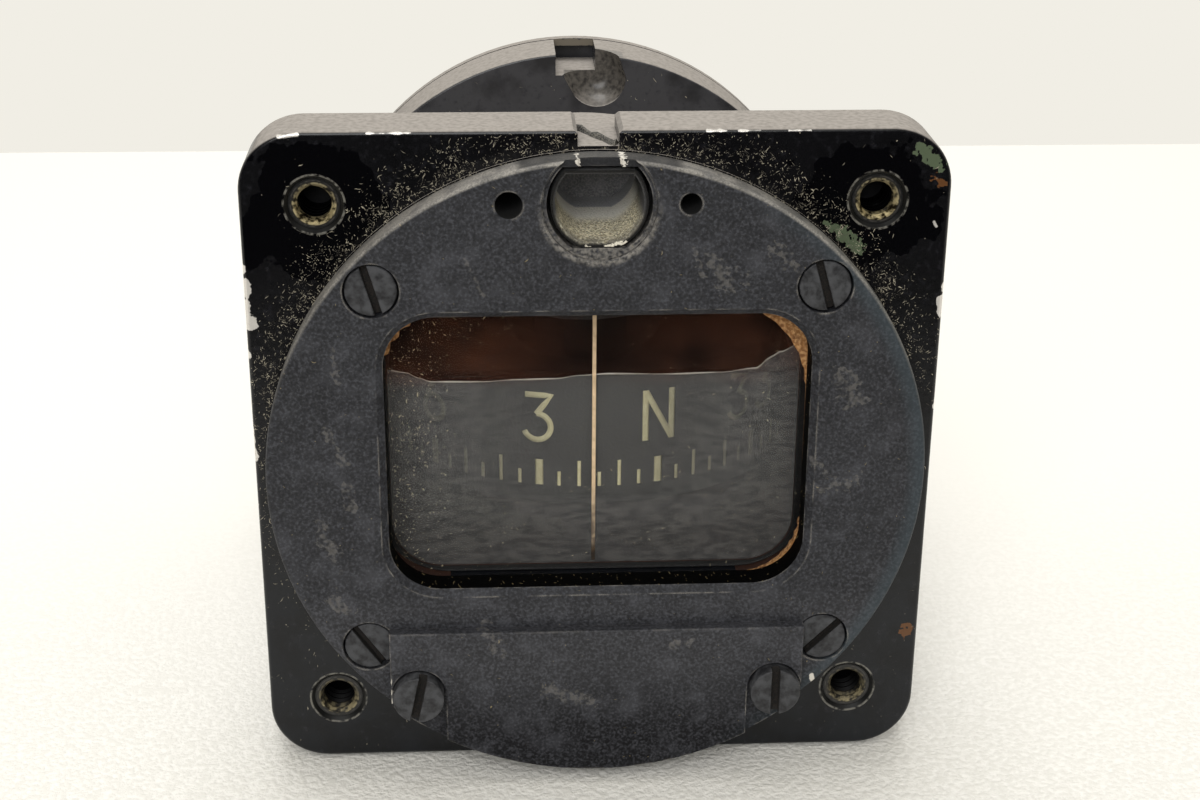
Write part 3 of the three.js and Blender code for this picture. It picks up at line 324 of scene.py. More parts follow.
    def stroke(self, mark: Mark) -> Socket:
        """Ragged mark with round ends.

        Args:
            mark: Where the mark lies, and how ragged it is.

        Returns:
            One inside the mark and zero outside.
        """
        (x0, z0), (x1, z1) = mark.start, mark.end
        half = math.hypot(x1 - x0, z1 - z0) / 2
        lean = math.atan2(z1 - z0, x1 - x0)
        laid = self.add("Mapping", {"Vector": self.place, "Location": ((x0 + x1) / 2, 0, (z0 + z1) / 2),
                                    "Rotation": (0, -lean, 0)}, vector_type="TEXTURE")
        sides = self.add("VectorMath", {0: laid}, operation="ABSOLUTE")
        past = self.add("VectorMath", {0: sides, 1: (half, 0, 0)}, operation="SUBTRACT")
        clear = self.add("VectorMath", {0: past, 1: (0, 0, 0)}, operation="MAXIMUM")
        wander = self.add("TexNoise", {"Vector": self.place, "Scale": 1 / mark.grain, "Detail": 4.0})
        shift = self.level(wander, -mark.ragged, mark.ragged, 0.3, 0.7, clamp=False)
        edge = self.math("ADD", self.flat_length(clear), shift, clamp=False)
        return self.ramp(edge, mark.width / 2 + mark.soft, mark.width / 2 - mark.soft)

    def marks(self, rows: Iterable[Mark]) -> Feed:
        """Draws several marks.

        Args:
            rows: The marks.

        Returns:
            One inside any of them and zero outside.
        """
        total: Feed = 0.0
        for mark in rows:
            total = self.math("ADD", total, self.stroke(mark))
        return total

    def flecks(self, density: Feed) -> Socket:
        """Lint and dust: short curled fibres and specks, 0.3 to 1 mm long.

        Args:
            density: Share of the spots that hold a fleck.

        Returns:
            One on a fleck and zero beside it.
        """
        lean = self.add("VectorMath", {0: (0.37, 0, 0.61), "Scale": self.split(self.place)[1]},
                        operation="SCALE")
        flat = self.add("VectorMath", {0: self.place, 1: (1, 0, 1), 2: lean}, operation="MULTIPLY_ADD")
        bend = self.add("TexNoise", {"Vector": flat, "Scale": 1 / 0.8, "Detail": 1.0}, out=1)
        bent = self.add("VectorMath", {0: bend, 1: (0.7, 0, 0.7), 2: flat}, operation="MULTIPLY_ADD")
        total: Feed = 0.0
        for layer in FLECK_LAYERS:
            laid = self.add("Mapping", {"Vector": bent, "Rotation": (0, layer.turn, 0),
                                        "Scale": (1, 1, layer.length)}, vector_type="TEXTURE")
            cell = self.add("TexVoronoi", {"Vector": laid, "Scale": 1 / layer.spacing})
            near = self.ramp(cell, layer.width / layer.spacing, 0.4 * layer.width / layer.spacing)
            chance = self.add("SeparateColor", {0: cell.node.outputs[1]})
            held = self.math("LESS_THAN", chance, density, clamp=False)
            total = self.math("ADD", total, self.product(near, held))
        return total


@dataclass(frozen=True)
class Finish:
    """A surface finish: one material and how its patterns are drawn."""

    name: str

    def colours(self, nodes: Nodes) -> dict:
        """Returns what feeds the surface shader's sockets, drawn with the material's nodes."""
        raise NotImplementedError

    def material(self) -> bpy.types.Material:
        """Makes the material once.

        Returns:
            The material, made at the first call.
        """
        found = bpy.data.materials.get(self.name)
        if found:
            return found
        made = bpy.data.materials.new(self.name)
        made.use_nodes = True
        nodes = Nodes(made.node_tree)
        shader = nodes.add("BsdfPrincipled", self.colours(nodes))
        nodes.add("OutputMaterial", {"Surface": shader})
        return made


@dataclass(frozen=True)
class StovedEnamel(Finish):
    """Stoving enamel over sand-cast aluminium: deep gloss black that has gone satin and grey.

    The eye sees a mirror black round the mounting holes, a dull film elsewhere, bright metal
    where it is chipped, pale dust on every upward face and lint caught beside the bezel. The film
    turns lighter towards the bottom, a painted reflection of the floor; the upward faces carry a
    painted sheen with their dust; each mounting hole's mouth has a black ring of painted shade and
    a pale ring of painted highlight.
    """

    gloss: str = "#020204"
    film: str = "#060609"
    # Lighter, bluish colour towards the bottom: painted reflection of the pale floor
    painted_floor_reflection: str = "#0E1116"
    rear_film: str = "#39393C"
    metal: str = "#D6D2CC"
    # Pale colour of upward faces: settled dust and a painted sheen of the top light
    dust: tuple[str, str] = ("#7E7973", "#96908A")
    lint: tuple[str, str] = ("#45413A", "#B4AC98")
    scooped: tuple[str, str] = ("#2A2827", "#57534E")
    dirt: str = "#6B6459"
    paint: str = "#4F5A46"
    rust: str = "#5A3A20"
    # Round each mounting hole: a black ring of painted shade and a broken pale ring of painted highlight
    mouth: str = "#030303"
    mouth_edge_highlight: str = "#67655F"

    clouds: tuple[Cloud, ...] = (Cloud("#020204", 4.5, 0.42, 0.62, 6.0, 0.6),
                                 Cloud("#222227", 0.5, 0.5, 0.95, 6.0))
    slot_dirt: Mark = Mark((-1.9, 26.35), (1.9, 26.35), 0.8, 0.15, 0.5)
    chips: tuple[Mark, ...] = (
        Mark((-30.0, 19.2), (-29.9, 17.8), 0.6), Mark((-29.9, 16.9), (-29.6, 16.0), 1.1, 0.4),
        Mark((-30.0, 14.6), (-29.6, 13.2), 1.3, 0.4), Mark((-30.2, 12.6), (-30.0, 10.2), 0.5),
        Mark((-29.9, 3.4), (-29.8, 0.4), 0.3), Mark((-29.8, -4.0), (-29.8, -4.6), 0.3),
        Mark((29.9, 15.9), (29.9, 13.6), 0.8, 0.4), Mark((29.9, 5.4), (29.9, 4.5), 0.3),
        Mark((-26.2, 29.35), (-24.7, 29.55), 0.26, 0.1), Mark((-19.0, 29.6), (-15.4, 29.6), 0.1, 0.1),
        Mark((9.0, 29.6), (10.6, 29.6), 0.1, 0.1), Mark((11.6, 29.6), (13.4, 29.6), 0.1, 0.1),
        Mark((15.8, 29.6), (17.6, 29.6), 0.1, 0.1), Mark((28.5, 21.6), (28.7, 21.2), 0.12, 0.08),
    )
    green: tuple[Mark, ...] = (
        Mark((19.4, 21.6), (20.4, 20.8), 0.7, 0.35, 0.5), Mark((20.8, 20.6), (22.2, 19.4), 1.0, 0.4, 0.4),
        Mark((27.0, 28.0), (28.4, 26.6), 1.1, 0.5, 0.6),
    )
    glossy: tuple[Mark, ...] = (
        Mark((-24.4, 24.4), (-22.6, 22.4), 9.0, 2.2, 4.0), Mark((-28.4, 20.6), (-24.4, 19.4), 4.6, 1.2, 2.6),
        Mark((-21.0, 26.8), (-19.6, 22.4), 3.4, 1.0, 2.6), Mark((21.6, 25.0), (24.4, 22.0), 8.4, 2.2, 3.4),
        Mark((17.0, 22.0), (21.4, 18.6), 3.0, 1.2, 2.6),
    )
    rusty: tuple[Mark, ...] = (Mark((28.6, -17.6), (28.9, -18.0), 0.9, 0.5, 0.5),
                               Mark((28.2, 25.6), (28.9, 24.9), 0.5, 0.3, 0.5))

    def lint_share(self, nodes: Nodes) -> Socket:
        """Says where lint has caught: beside the bezel, above it and at its left.

        Args:
            nodes: Nodes of the material.

        Returns:
            Share of the spots on the front that hold a fibre.
        """
        side, _, height = nodes.split(nodes.place)
        near = nodes.math("POWER", nodes.ramp(nodes.reach(), 34.0, 28.2), 2.0)
        at_left = nodes.product(nodes.ramp(side, 6.0, -24.0), nodes.ramp(height, -22.0, 6.0))
        high = nodes.math("MAXIMUM", nodes.ramp(height, 2.0, 16.0), at_left)
        clumps = nodes.math("ADD", nodes.noise(1.5, 0.4, 0.6), 0.3)
        return nodes.product(near, high, clumps)

    def colours(self, nodes: Nodes) -> dict:
        """Draws the enamel.

        Args:
            nodes: Nodes of the material.

        Returns:
            What feeds the surface shader.
        """
        _, depth, height = nodes.split(nodes.place)
        upward = nodes.split(nodes.facing)[2]
        front = nodes.ramp(depth, 3.2, 1.0)
        shiny = nodes.product(front, nodes.marks(self.glossy))
        # The film grows lighter towards the bottom: painted reflection of the floor
        film = nodes.blend(nodes.ramp(height, 20.0, -16.0), self.film, self.painted_floor_reflection)
        film = nodes.blend(nodes.ramp(depth, 38.0, 41.0), film, self.rear_film)
        base = nodes.blend(shiny, nodes.clouded(film, *self.clouds), self.gloss)
        grains = nodes.noise(0.45, 0.2, 0.7, 5.0)
        scoop = nodes.product(nodes.ramp(nodes.reach(*PLACES.scoop), 3.5, 3.3),
                              nodes.band(depth, 42.2, 42.4, 44.6, 44.8))
        base = nodes.blend(scoop, base, nodes.blend(grains, *self.scooped))
        # Upward faces above the middle: settled dust and a painted sheen of the top light
        settled = nodes.product(nodes.ramp(upward, 0.5, 0.8), nodes.ramp(height, 2.0, 12.0),
                                nodes.math("SUBTRACT", 1.0, nodes.product(scoop, 0.7)))
        base = nodes.coat(base, self.dirt, nodes.stroke(self.slot_dirt), nodes.ramp(depth, 49.0, 49.4))
        base = nodes.blend(settled, base, nodes.blend(grains, *self.dust))
        for rows, colour in ((self.green, self.paint), (self.rusty, self.rust)):
            base = nodes.coat(base, colour, front, nodes.marks(rows))
        chipped = nodes.product(front, nodes.marks(self.chips))
        base = nodes.blend(chipped, base, self.metal)
        specks = nodes.flecks(nodes.math("ADD", nodes.product(self.lint_share(nodes), front), 0.006))
        specks = nodes.product(specks, nodes.ramp(upward, 0.4, 0.2))
        fibre = nodes.blend(nodes.noise(0.7, 0.38, 0.62, 2.0), *self.lint)
        base = nodes.coat(base, fibre, specks, 0.85)
        from_mount = nodes.from_mount()
        # Painted shade: black in and round the mouth of each mounting hole
        mouth = nodes.ramp(from_mount, 2.62, 2.46)
        base = nodes.coat(base, self.mouth, mouth, front)
        # Painted highlight: a broken pale ring at the edge of each mouth
        ring = nodes.band(from_mount, 2.42, 2.5, 2.6, 2.68)
        mouth_edge_highlight = nodes.product(ring, nodes.noise(0.5, 0.38, 0.6, 4.0))
        base = nodes.coat(base, self.mouth_edge_highlight, mouth_edge_highlight, front)
        rough = nodes.math("MAXIMUM", nodes.level(shiny, 0.26, 0.14), nodes.product(mouth, 0.45))
        dull = nodes.math("MAXIMUM", nodes.math("MAXIMUM", settled, specks), rough)
        relief = nodes.relief(nodes.noise(0.6, 0.0, 1.0, 4.0), 0.22, 0.04)
        return {"Base Color": base, "Roughness": dull, "Normal": relief, "Specular IOR Level": 0.34,
                "Metallic": nodes.product(chipped, 0.4)}


@dataclass(frozen=True)
class CharcoalPaint(Finish):
    """Matt charcoal paint, sprayed, with a fine tooth; it hides marks but keeps pale scuffs."""

    base: str = "#28292E"
    dark: str = "#1E1F24"
    scuff: str = "#505157"
    # Pale dust; also the painted sheen on the rim's top and the painted highlight along its edges
    dust: str = "#9C978F"
    tint: str = "#3A474E"
    shade: str = "#131315"
    handled: str = "#47474B"
    dull_streak: str = "#77746E"
    notch: str = "#17171A"
    metal: str = "#C9C4BB"
    fleck: str = "#A3936E"

    clouds: tuple[Cloud, ...] = (Cloud("#101012", 0.3, 0.6, 0.4, 3.0, 0.6),
                                 Cloud("#505157", 2.6, 0.48, 0.75, 6.0, 0.3))
    scuffs: tuple[Mark, ...] = (
        Mark((-11.2, 19.8), (-9.6, 16.4), 0.3, 0.15, 0.5, 0.12), Mark((-22.4, 11.6), (-22.0, 9.0), 0.6, 0.4),
        Mark((-23.2, 4.4), (-22.0, 1.4), 0.8, 0.8), Mark((-21.6, -0.6), (-21.2, -3.0), 0.7, 0.6),
        Mark((18.8, -1.8), (22.6, -1.0), 0.8, 0.7, 0.6), Mark((18.6, 1.0), (20.0, -0.2), 0.6, 0.5),
        Mark((-9.8, -14.6), (-8.4, -17.2), 1.0, 0.7), Mark((6.6, -16.3), (8.0, -16.3), 0.9, 0.5),
        Mark((-4.4, -20.6), (-0.6, -22.0), 1.1, 0.7, 0.6), Mark((20.6, 9.0), (22.0, 6.6), 1.4, 1.0, 0.8),
        Mark((9.0, 19.6), (11.0, 17.6), 1.6, 1.2, 0.8), Mark((14.6, 20.4), (16.0, 19.0), 0.9, 0.7, 0.6),
        Mark((-24.0, -5.0), (-22.6, -9.0), 0.9, 1.1, 0.9), Mark((-23.4, -11.6), (-22.2, -13.0), 0.9, 0.9),
    )
    chips: tuple[Mark, ...] = (
        Mark((-1.85, 27.9), (-1.75, 27.2), 0.25, 0.2, 0.4), Mark((1.85, 28.0), (2.0, 27.4), 0.35, 0.25, 0.4),
        Mark((19.6, -20.4), (19.8, -20.9), 0.4, 0.2),
        Mark((-18.4, -19.0), (-18.5, -22.0), 0.06, 0.1, 0.6), Mark((9.4, -27.9), (12.8, -26.9), 0.1, 0.15),
        Mark((-6.6, -28.9), (-4.0, -29.1), 0.12, 0.12, 0.5), Mark((4.0, -29.1), (6.4, -28.9), 0.12, 0.12),
    )

    def dust_and_sheen(self, nodes: Nodes, upward: Socket) -> Socket:
        """Says where dust and a painted sheen of the top light lie in patches on the top of the rim.

        Args:
            nodes: Nodes of the material.
            upward: How far the surface faces up.

        Returns:
            Share of dust and painted sheen.
        """
        patches = nodes.add("Math", {0: nodes.noise(1.6, 0.34, 0.6, 5.0), 1: 0.35, 2: 0.4},
                            operation="MULTIPLY_ADD", use_clamp=True)
        above = nodes.product(nodes.ramp(upward, 0.1, 0.6), patches)
        return nodes.product(nodes.ramp(nodes.reach(0, -PLACES.bezel_drop), 28.12, 28.3), above)

    def worn_and_highlit_edges(self, nodes: Nodes) -> Socket:
        """Says where edges are worn through, and where a painted highlight lines them.

        Args:
            nodes: Nodes of the material.

        Returns:
            Share of worn paint and painted highlight.
        """
        corner = nodes.add("Bevel", {"Radius": 0.22 * MM}, samples=4)
        bend = nodes.add("VectorMath", {0: corner, 1: nodes.facing}, out="Value", operation="DOT_PRODUCT")
        return nodes.product(nodes.ramp(bend, 0.985, 0.9), nodes.noise(1.4, 0.42, 0.62, 5.0))

    def colours(self, nodes: Nodes) -> dict:
        """Draws the paint.

        Args:
            nodes: Nodes of the material.

        Returns:
            What feeds the surface shader.
        """
        side, depth, height = nodes.split(nodes.place)
        upward = nodes.split(nodes.facing)[2]
        base = nodes.blend(nodes.noise(7.0, 0.3, 0.7, 4.0), self.dark, self.base)
        low = nodes.ramp(height, -19.0, -26.5)
        base = nodes.coat(base, self.shade, low, 0.85)
        base = nodes.coat(base, self.handled, nodes.band(height, -21.5, -17.5, -13.5, -11.0), 0.3)
        tooth = nodes.noise(0.24, 0.38, 0.68, 2.0)
        base = nodes.coat(base, self.scuff, tooth, 0.42)
        base = nodes.clouded(base, *self.clouds)
        base = nodes.coat(base, self.dust, nodes.marks(self.scuffs), nodes.noise(0.45, 0.4, 0.62, 5.0), 0.16)
        right = nodes.product(nodes.ramp(nodes.reach(0, -PLACES.bezel_drop), 26.6, 28.2),
                              nodes.ramp(side, 10.0, 24.0))
        base = nodes.coat(base, self.tint, right, 0.4)
        streaks = nodes.blend(nodes.noise(0.16, 0.35, 0.65), self.dull_streak, self.dust)
        # Dust and a painted sheen in patches on the rim's upward faces
        base = nodes.blend(self.dust_and_sheen(nodes, upward), base, streaks)
        lamp = nodes.product(nodes.ramp(nodes.reach(0, LAMP.z), 5.4, 4.95), nodes.ramp(height, 25.6, 20.2))
        base = nodes.coat(base, self.dust, lamp, nodes.noise(0.35, 0.3, 0.7, 4.0), 0.55)
        # Worn edges, with a painted highlight along them
        base = nodes.coat(base, self.dust, self.worn_and_highlit_edges(nodes), 0.6)
        notch = nodes.product(nodes.ramp(depth, -2.9, -2.6), nodes.ramp(height, 27.2, 27.4))
        base = nodes.coat(base, self.notch, notch, 0.75)
        base = nodes.coat(base, self.metal, nodes.marks(self.chips), nodes.ramp(depth, 0.0, -0.4))
        base = nodes.coat(base, self.fleck, nodes.flecks(0.004), 0.6)
        return {"Base Color": base, "Roughness": 0.62, "Normal": nodes.relief(tooth, 0.45, 0.05),
                "Specular IOR Level": nodes.level(low, 0.34, 0.1)}


@dataclass(frozen=True)
class Metal(Finish):
    """Machined metal, tarnished in clouds, with fine turning marks."""

    base: str = "#8F9297"
    tarnish: str = "#55575B"
    roughness: float = 0.38
    metallic: float = 1.0
    grain: float = 0.25
    cloud: float = 1.5

    def colours(self, nodes: Nodes) -> dict:
        """Draws the metal.

        Args:
            nodes: Nodes of the material.

        Returns:
            What feeds the surface shader.
        """
        clouds = nodes.noise(self.cloud, 0.35, 0.7, 5.0)
        marks = nodes.noise(self.grain, 0.3, 0.7)
        base = nodes.blend(clouds, self.base, self.tarnish)
        return {"Base Color": nodes.coat(base, self.tarnish, marks, 0.3), "Metallic": self.metallic,
                "Roughness": nodes.level(clouds, self.roughness, min(1.0, self.roughness + 0.25)),
                "Normal": nodes.relief(marks, 0.2, 0.03)}


@dataclass(frozen=True)
class Matt(Finish):
    """Rubber, fibre, cork or lacquer: a dull body with clouds, grains and its own bump."""

    base: str
    cloud_colour: str
    grain_colour: str
    cloud: float = 2.0
    grain: float = 0.3
    grain_share: float = 0.5
    roughness: float = 0.8
    bump: float = 0.4
    specular: float = 0.5
    lint_share: float = 0.0
    lint: str = "#A3936E"

    def colours(self, nodes: Nodes) -> dict:
        """Draws the matt surface.

        Args:
            nodes: Nodes of the material.

        Returns:
            What feeds the surface shader.
        """
        base = nodes.blend(nodes.noise(self.cloud, 0.3, 0.7, 5.0), self.base, self.cloud_colour)
        grains = nodes.noise(self.grain, 0.4, 0.65, 4.0)
        base = nodes.coat(base, self.grain_colour, grains, self.grain_share)
        if self.lint_share:
            base = nodes.blend(nodes.flecks(self.lint_share), base, self.lint)
        return {"Base Color": base, "Roughness": self.roughness, "Specular IOR Level": self.specular,
                "Normal": nodes.relief(grains, self.bump, 0.06)}


@dataclass(frozen=True)
class WindowGlass(Finish):
    """Plate glass with a dusty skin: lint on its face, and brown residue dried above the liquid."""

    tint: str = "#2A2A29"
    stain: str = "#5E3A2A"
    lint: str = "#B8AC90"
    veil: float = 0.03

    def colours(self, nodes: Nodes) -> dict:
        """Draws the dusty skin of the glass.

        Args:
            nodes: Nodes of the material.

        Returns:
            What feeds the surface shader.
        """
        side, _, height = nodes.split(nodes.place)
        top_left = nodes.product(nodes.ramp(height, 9.0, 14.0), nodes.ramp(side, 0.0, -16.0))
        edge = nodes.math("MAXIMUM", nodes.ramp(side, -11.5, -18.5), top_left)
        specks = nodes.flecks(nodes.level(edge, 0.006, 0.12))
        seen = nodes.add("Math", {0: nodes.noise(4.0, 0.3, 0.9, 4.0), 1: self.veil, 2: self.veil},
                         operation="MULTIPLY_ADD", use_clamp=True)
        outer = nodes.ramp(nodes.add("Math", {0: side}, operation="ABSOLUTE"), 2.0, 13.0)
        dried = nodes.product(nodes.ramp(height, 6.5, 7.6), nodes.noise(6.0, 0.2, 0.6),
                              nodes.math("ADD", outer, 0.5))
        seen = nodes.math("ADD", seen, nodes.product(dried, 0.16))
        alpha = nodes.math("MAXIMUM", seen, nodes.product(specks, 0.75))
        base = nodes.blend(specks, nodes.blend(dried, self.tint, self.stain), self.lint)
        return {"Base Color": base, "Alpha": alpha, "Roughness": 0.12}


@dataclass(frozen=True)
class DampingLiquid(Finish):
    """Aged, turbid damping spirit: it hides the card more the farther it curves away.

    Its face is a grey veil, its level surface is brown and glossy.
    """

    veil: tuple[str, str] = ("#424242", "#5E5D5B")
    surface: tuple[str, str] = ("#2A160E", "#180A07")
    card_radius: float = 21.0
    clear: float = 0.86
    turbidity: float = 0.42
    most: float = 0.67

    def hidden(self, nodes: Nodes) -> Socket:
        """Works out how much the liquid hides, from its depth before the card's curve.

        Args:
            nodes: Nodes of the material.

        Returns:
            Share that is hidden by one of its two faces.
        """
        side, _, height = nodes.split(nodes.place)
        squared = nodes.math("MULTIPLY", side, side, clamp=False)
        rest = nodes.math("SUBTRACT", self.card_radius ** 2, squared, clamp=False)
        root = nodes.add("Math", {0: rest}, operation="SQRT")
        behind = nodes.math("SUBTRACT", self.card_radius, root, clamp=False)
        # Beyond the depth, more is hidden towards the bottom and towards the left
        for term in (nodes.level(height, 0.0, 5.0, -5.2, -6.8), nodes.level(side, 0.0, 2.2, -8.0, -15.0)):
            behind = nodes.math("ADD", behind, term, clamp=False)
        through = nodes.math("POWER", math.exp(-self.turbidity / 2), behind, clamp=False)
        clear = nodes.math("MULTIPLY", through, math.sqrt(self.clear), clamp=False)
        return nodes.math("MINIMUM", nodes.math("SUBTRACT", 1.0, clear), self.most, clamp=False)

    def colours(self, nodes: Nodes) -> dict:
        """Draws the liquid's face and its level surface.

        Args:
            nodes: Nodes of the material.

        Returns:
            What feeds the surface shader.
        """
        top = nodes.ramp(nodes.split(nodes.facing)[2], 0.3, 0.6)
        streaks = nodes.add("Mapping", {"Vector": nodes.place, "Scale": (0.35, 1, 1)})
        veil = nodes.blend(nodes.noise(0.45, 0.36, 0.64, 4.0, streaks), *self.veil)
        stained = nodes.blend(nodes.noise(5.0, 0.35, 0.7), *self.surface)
        alpha = nodes.math("MAXIMUM", self.hidden(nodes), nodes.product(top, 0.98))
        return {"Base Color": nodes.blend(top, veil, stained), "Alpha": alpha,
                "Roughness": nodes.level(top, 0.5, 0.1)}


@dataclass(frozen=True)
class StainedBrass(Finish):
    """Brass insert in a painted flange: black over its face; worn bright low in its bore, painted shade
    above.
    """

    brass: str = "#E6D5A6"
    # Black paint of the face, also the painted shade deep in the bore and over its upper side
    paint: str = "#0A0A0B"
    tarnish: str = "#2B2416"
    flare: str = "#3A3733"

    def colours(self, nodes: Nodes) -> dict:
        """Draws the brass and its paint.

        Args:
            nodes: Nodes of the material.

        Returns:
            What feeds the surface shader.
        """
        _, depth, height = nodes.split(nodes.place)
        reach = nodes.from_mount()
        clouds = nodes.noise(0.5, 0.4, 0.62, 5.0)
        base = nodes.blend(clouds, self.brass, self.tarnish)
        # Deeper in the bore the brass goes black: painted shade
        base = nodes.blend(nodes.ramp(depth, 0.8, 2.0), base, self.paint)
        half = PLACES.mount_half
        rise = nodes.add("Math", {0: nodes.math("ADD", height, half, clamp=False), 1: half, 2: -half},
                         operation="WRAP")
        # Brass shows low in the mouth, more on the upper pair; the rest of the bore is black painted shade
        upper_pair = nodes.math("ADD", nodes.ramp(height, -5.0, 5.0), 0.3)
        shown = nodes.product(nodes.ramp(reach, 1.9, 1.78), nodes.noise(0.9, 0.28, 0.42, 4.0),
                              nodes.level(rise, 0.3, 1.0, 0.4, -0.9), upper_pair)
        base = nodes.blend(shown, self.paint, base)
        base = nodes.coat(base, self.flare, nodes.band(reach, 1.9, 1.96, 2.0, 2.06), clouds)
        return {"Base Color": base, "Metallic": nodes.product(shown, 0.9), "Roughness": 0.36}


@dataclass(frozen=True)
class LampFibre(Finish):
    """Fibre sleeve of the lamp: sandy crumbs on its floor, grey sides in painted shade above, a bare chipped
    lip.
    """

    crumb: str = "#FFF7DC"
    soot: str = "#B9AE8E"
    pit: str = "#2E2A22"
    smooth: str = "#FFFCF2"
    grey: str = "#6A6762"
    shade: str = "#B4B4B6"
    # Dark grey over the upper part of the sleeve: painted shade
    ceiling: str = "#4A4A4B"
    edge: str = "#0F0E0D"
    chip: str = "#E2DCCB"
    lip: tuple[Mark, ...] = (Mark((0.5, 20.5), (2.2, 20.8), 0.26, 0.2, 0.4),
                             Mark((-1.1, 20.5), (-0.8, 20.5), 0.14, 0.1, 0.4))

    def colours(self, nodes: Nodes) -> dict:
        """Draws the fibre from the well's floor to its shaded end.

        Args:
            nodes: Nodes of the material.

        Returns:
            What feeds the surface shader.
        """
        side, depth, height = nodes.split(nodes.place)
        grains = nodes.noise(0.2, 0.42, 0.58)
        base = nodes.blend(grains, self.soot, self.crumb)
        pits = nodes.product(nodes.noise(0.16, 0.42, 0.36, 2.0), nodes.ramp(depth, 5.0, 3.0))
        base = nodes.coat(base, self.pit, pits, 0.9)
        outer = nodes.ramp(nodes.add("Math", {0: side}, operation="ABSOLUTE"), 3.0, 4.1)
        worn = nodes.product(nodes.math("MAXIMUM", nodes.ramp(depth, -0.2, -2.0), outer),
                             nodes.math("ADD", nodes.noise(0.9, 0.35, 0.65, 4.0), 0.35))
        base = nodes.coat(base, self.grey, worn, 0.8)
        base = nodes.coat(base, self.smooth, nodes.ramp(depth, 3.0, 5.4), 0.9)
        # Painted shade over the sleeve's upper part
        base = nodes.blend(nodes.ramp(height, 22.2, 23.8), base, self.ceiling)
        base = nodes.blend(nodes.ramp(depth, 7.5, 8.1), base, self.shade)
        base = nodes.blend(nodes.ramp(depth, -2.0, -2.3), base, self.edge)
        base = nodes.coat(base, self.chip, nodes.marks(self.lip), nodes.ramp(depth, -1.6, -2.1))
        return {"Base Color": base, "Roughness": 0.9, "Normal": nodes.relief(grains, 0.9, 0.08)}


@dataclass(frozen=True)
class LubberPaint(Finish):
    """Aged cream enamel on the lubber line, worn away towards its lower end."""

    base: str = "#E4C8A2"
    worn: str = "#6E6358"
    bare: str = "#1A1817"
    stain: str = "#8C6F4E"

    def colours(self, nodes: Nodes) -> dict:
        """Draws the enamel, from its fresh top to its bare foot.

        Args:
            nodes: Nodes of the material.

        Returns:
            What feeds the surface shader.
        """
        height = nodes.split(nodes.place)[2]
        patchy = nodes.noise(0.7, 0.3, 0.7, 4.0)
        base = nodes.coat(self.base, self.worn, nodes.ramp(height, -3.6, -8.6),
                          nodes.math("ADD", patchy, 0.45))
        base = nodes.blend(nodes.ramp(height, -9.6, -10.9), base, self.bare)
        return {"Base Color": nodes.coat(base, self.stain, patchy, 0.35), "Roughness": 0.6}


@dataclass(frozen=True)
class FoamFloor(Finish):
    """Pale moulded foam, beaded near the compass and smooth farther off."""

    base: str = "#E4E2DD"
    grain: str = "#D8D6D0"

    def colours(self, nodes: Nodes) -> dict:
        """Draws the foam's beads.

        Args:
            nodes: Nodes of the material.

        Returns:
            What feeds the surface shader.
        """
        near = nodes.ramp(nodes.split(nodes.place)[1], 70.0, -10.0)
        beads = nodes.noise(0.55, 0.3, 0.7)
        return {"Base Color": nodes.coat(self.base, self.grain, beads, near), "Roughness": 0.9,
                "Normal": nodes.relief(beads, nodes.product(near, 0.4), 0.25), "Specular IOR Level": 0.1}


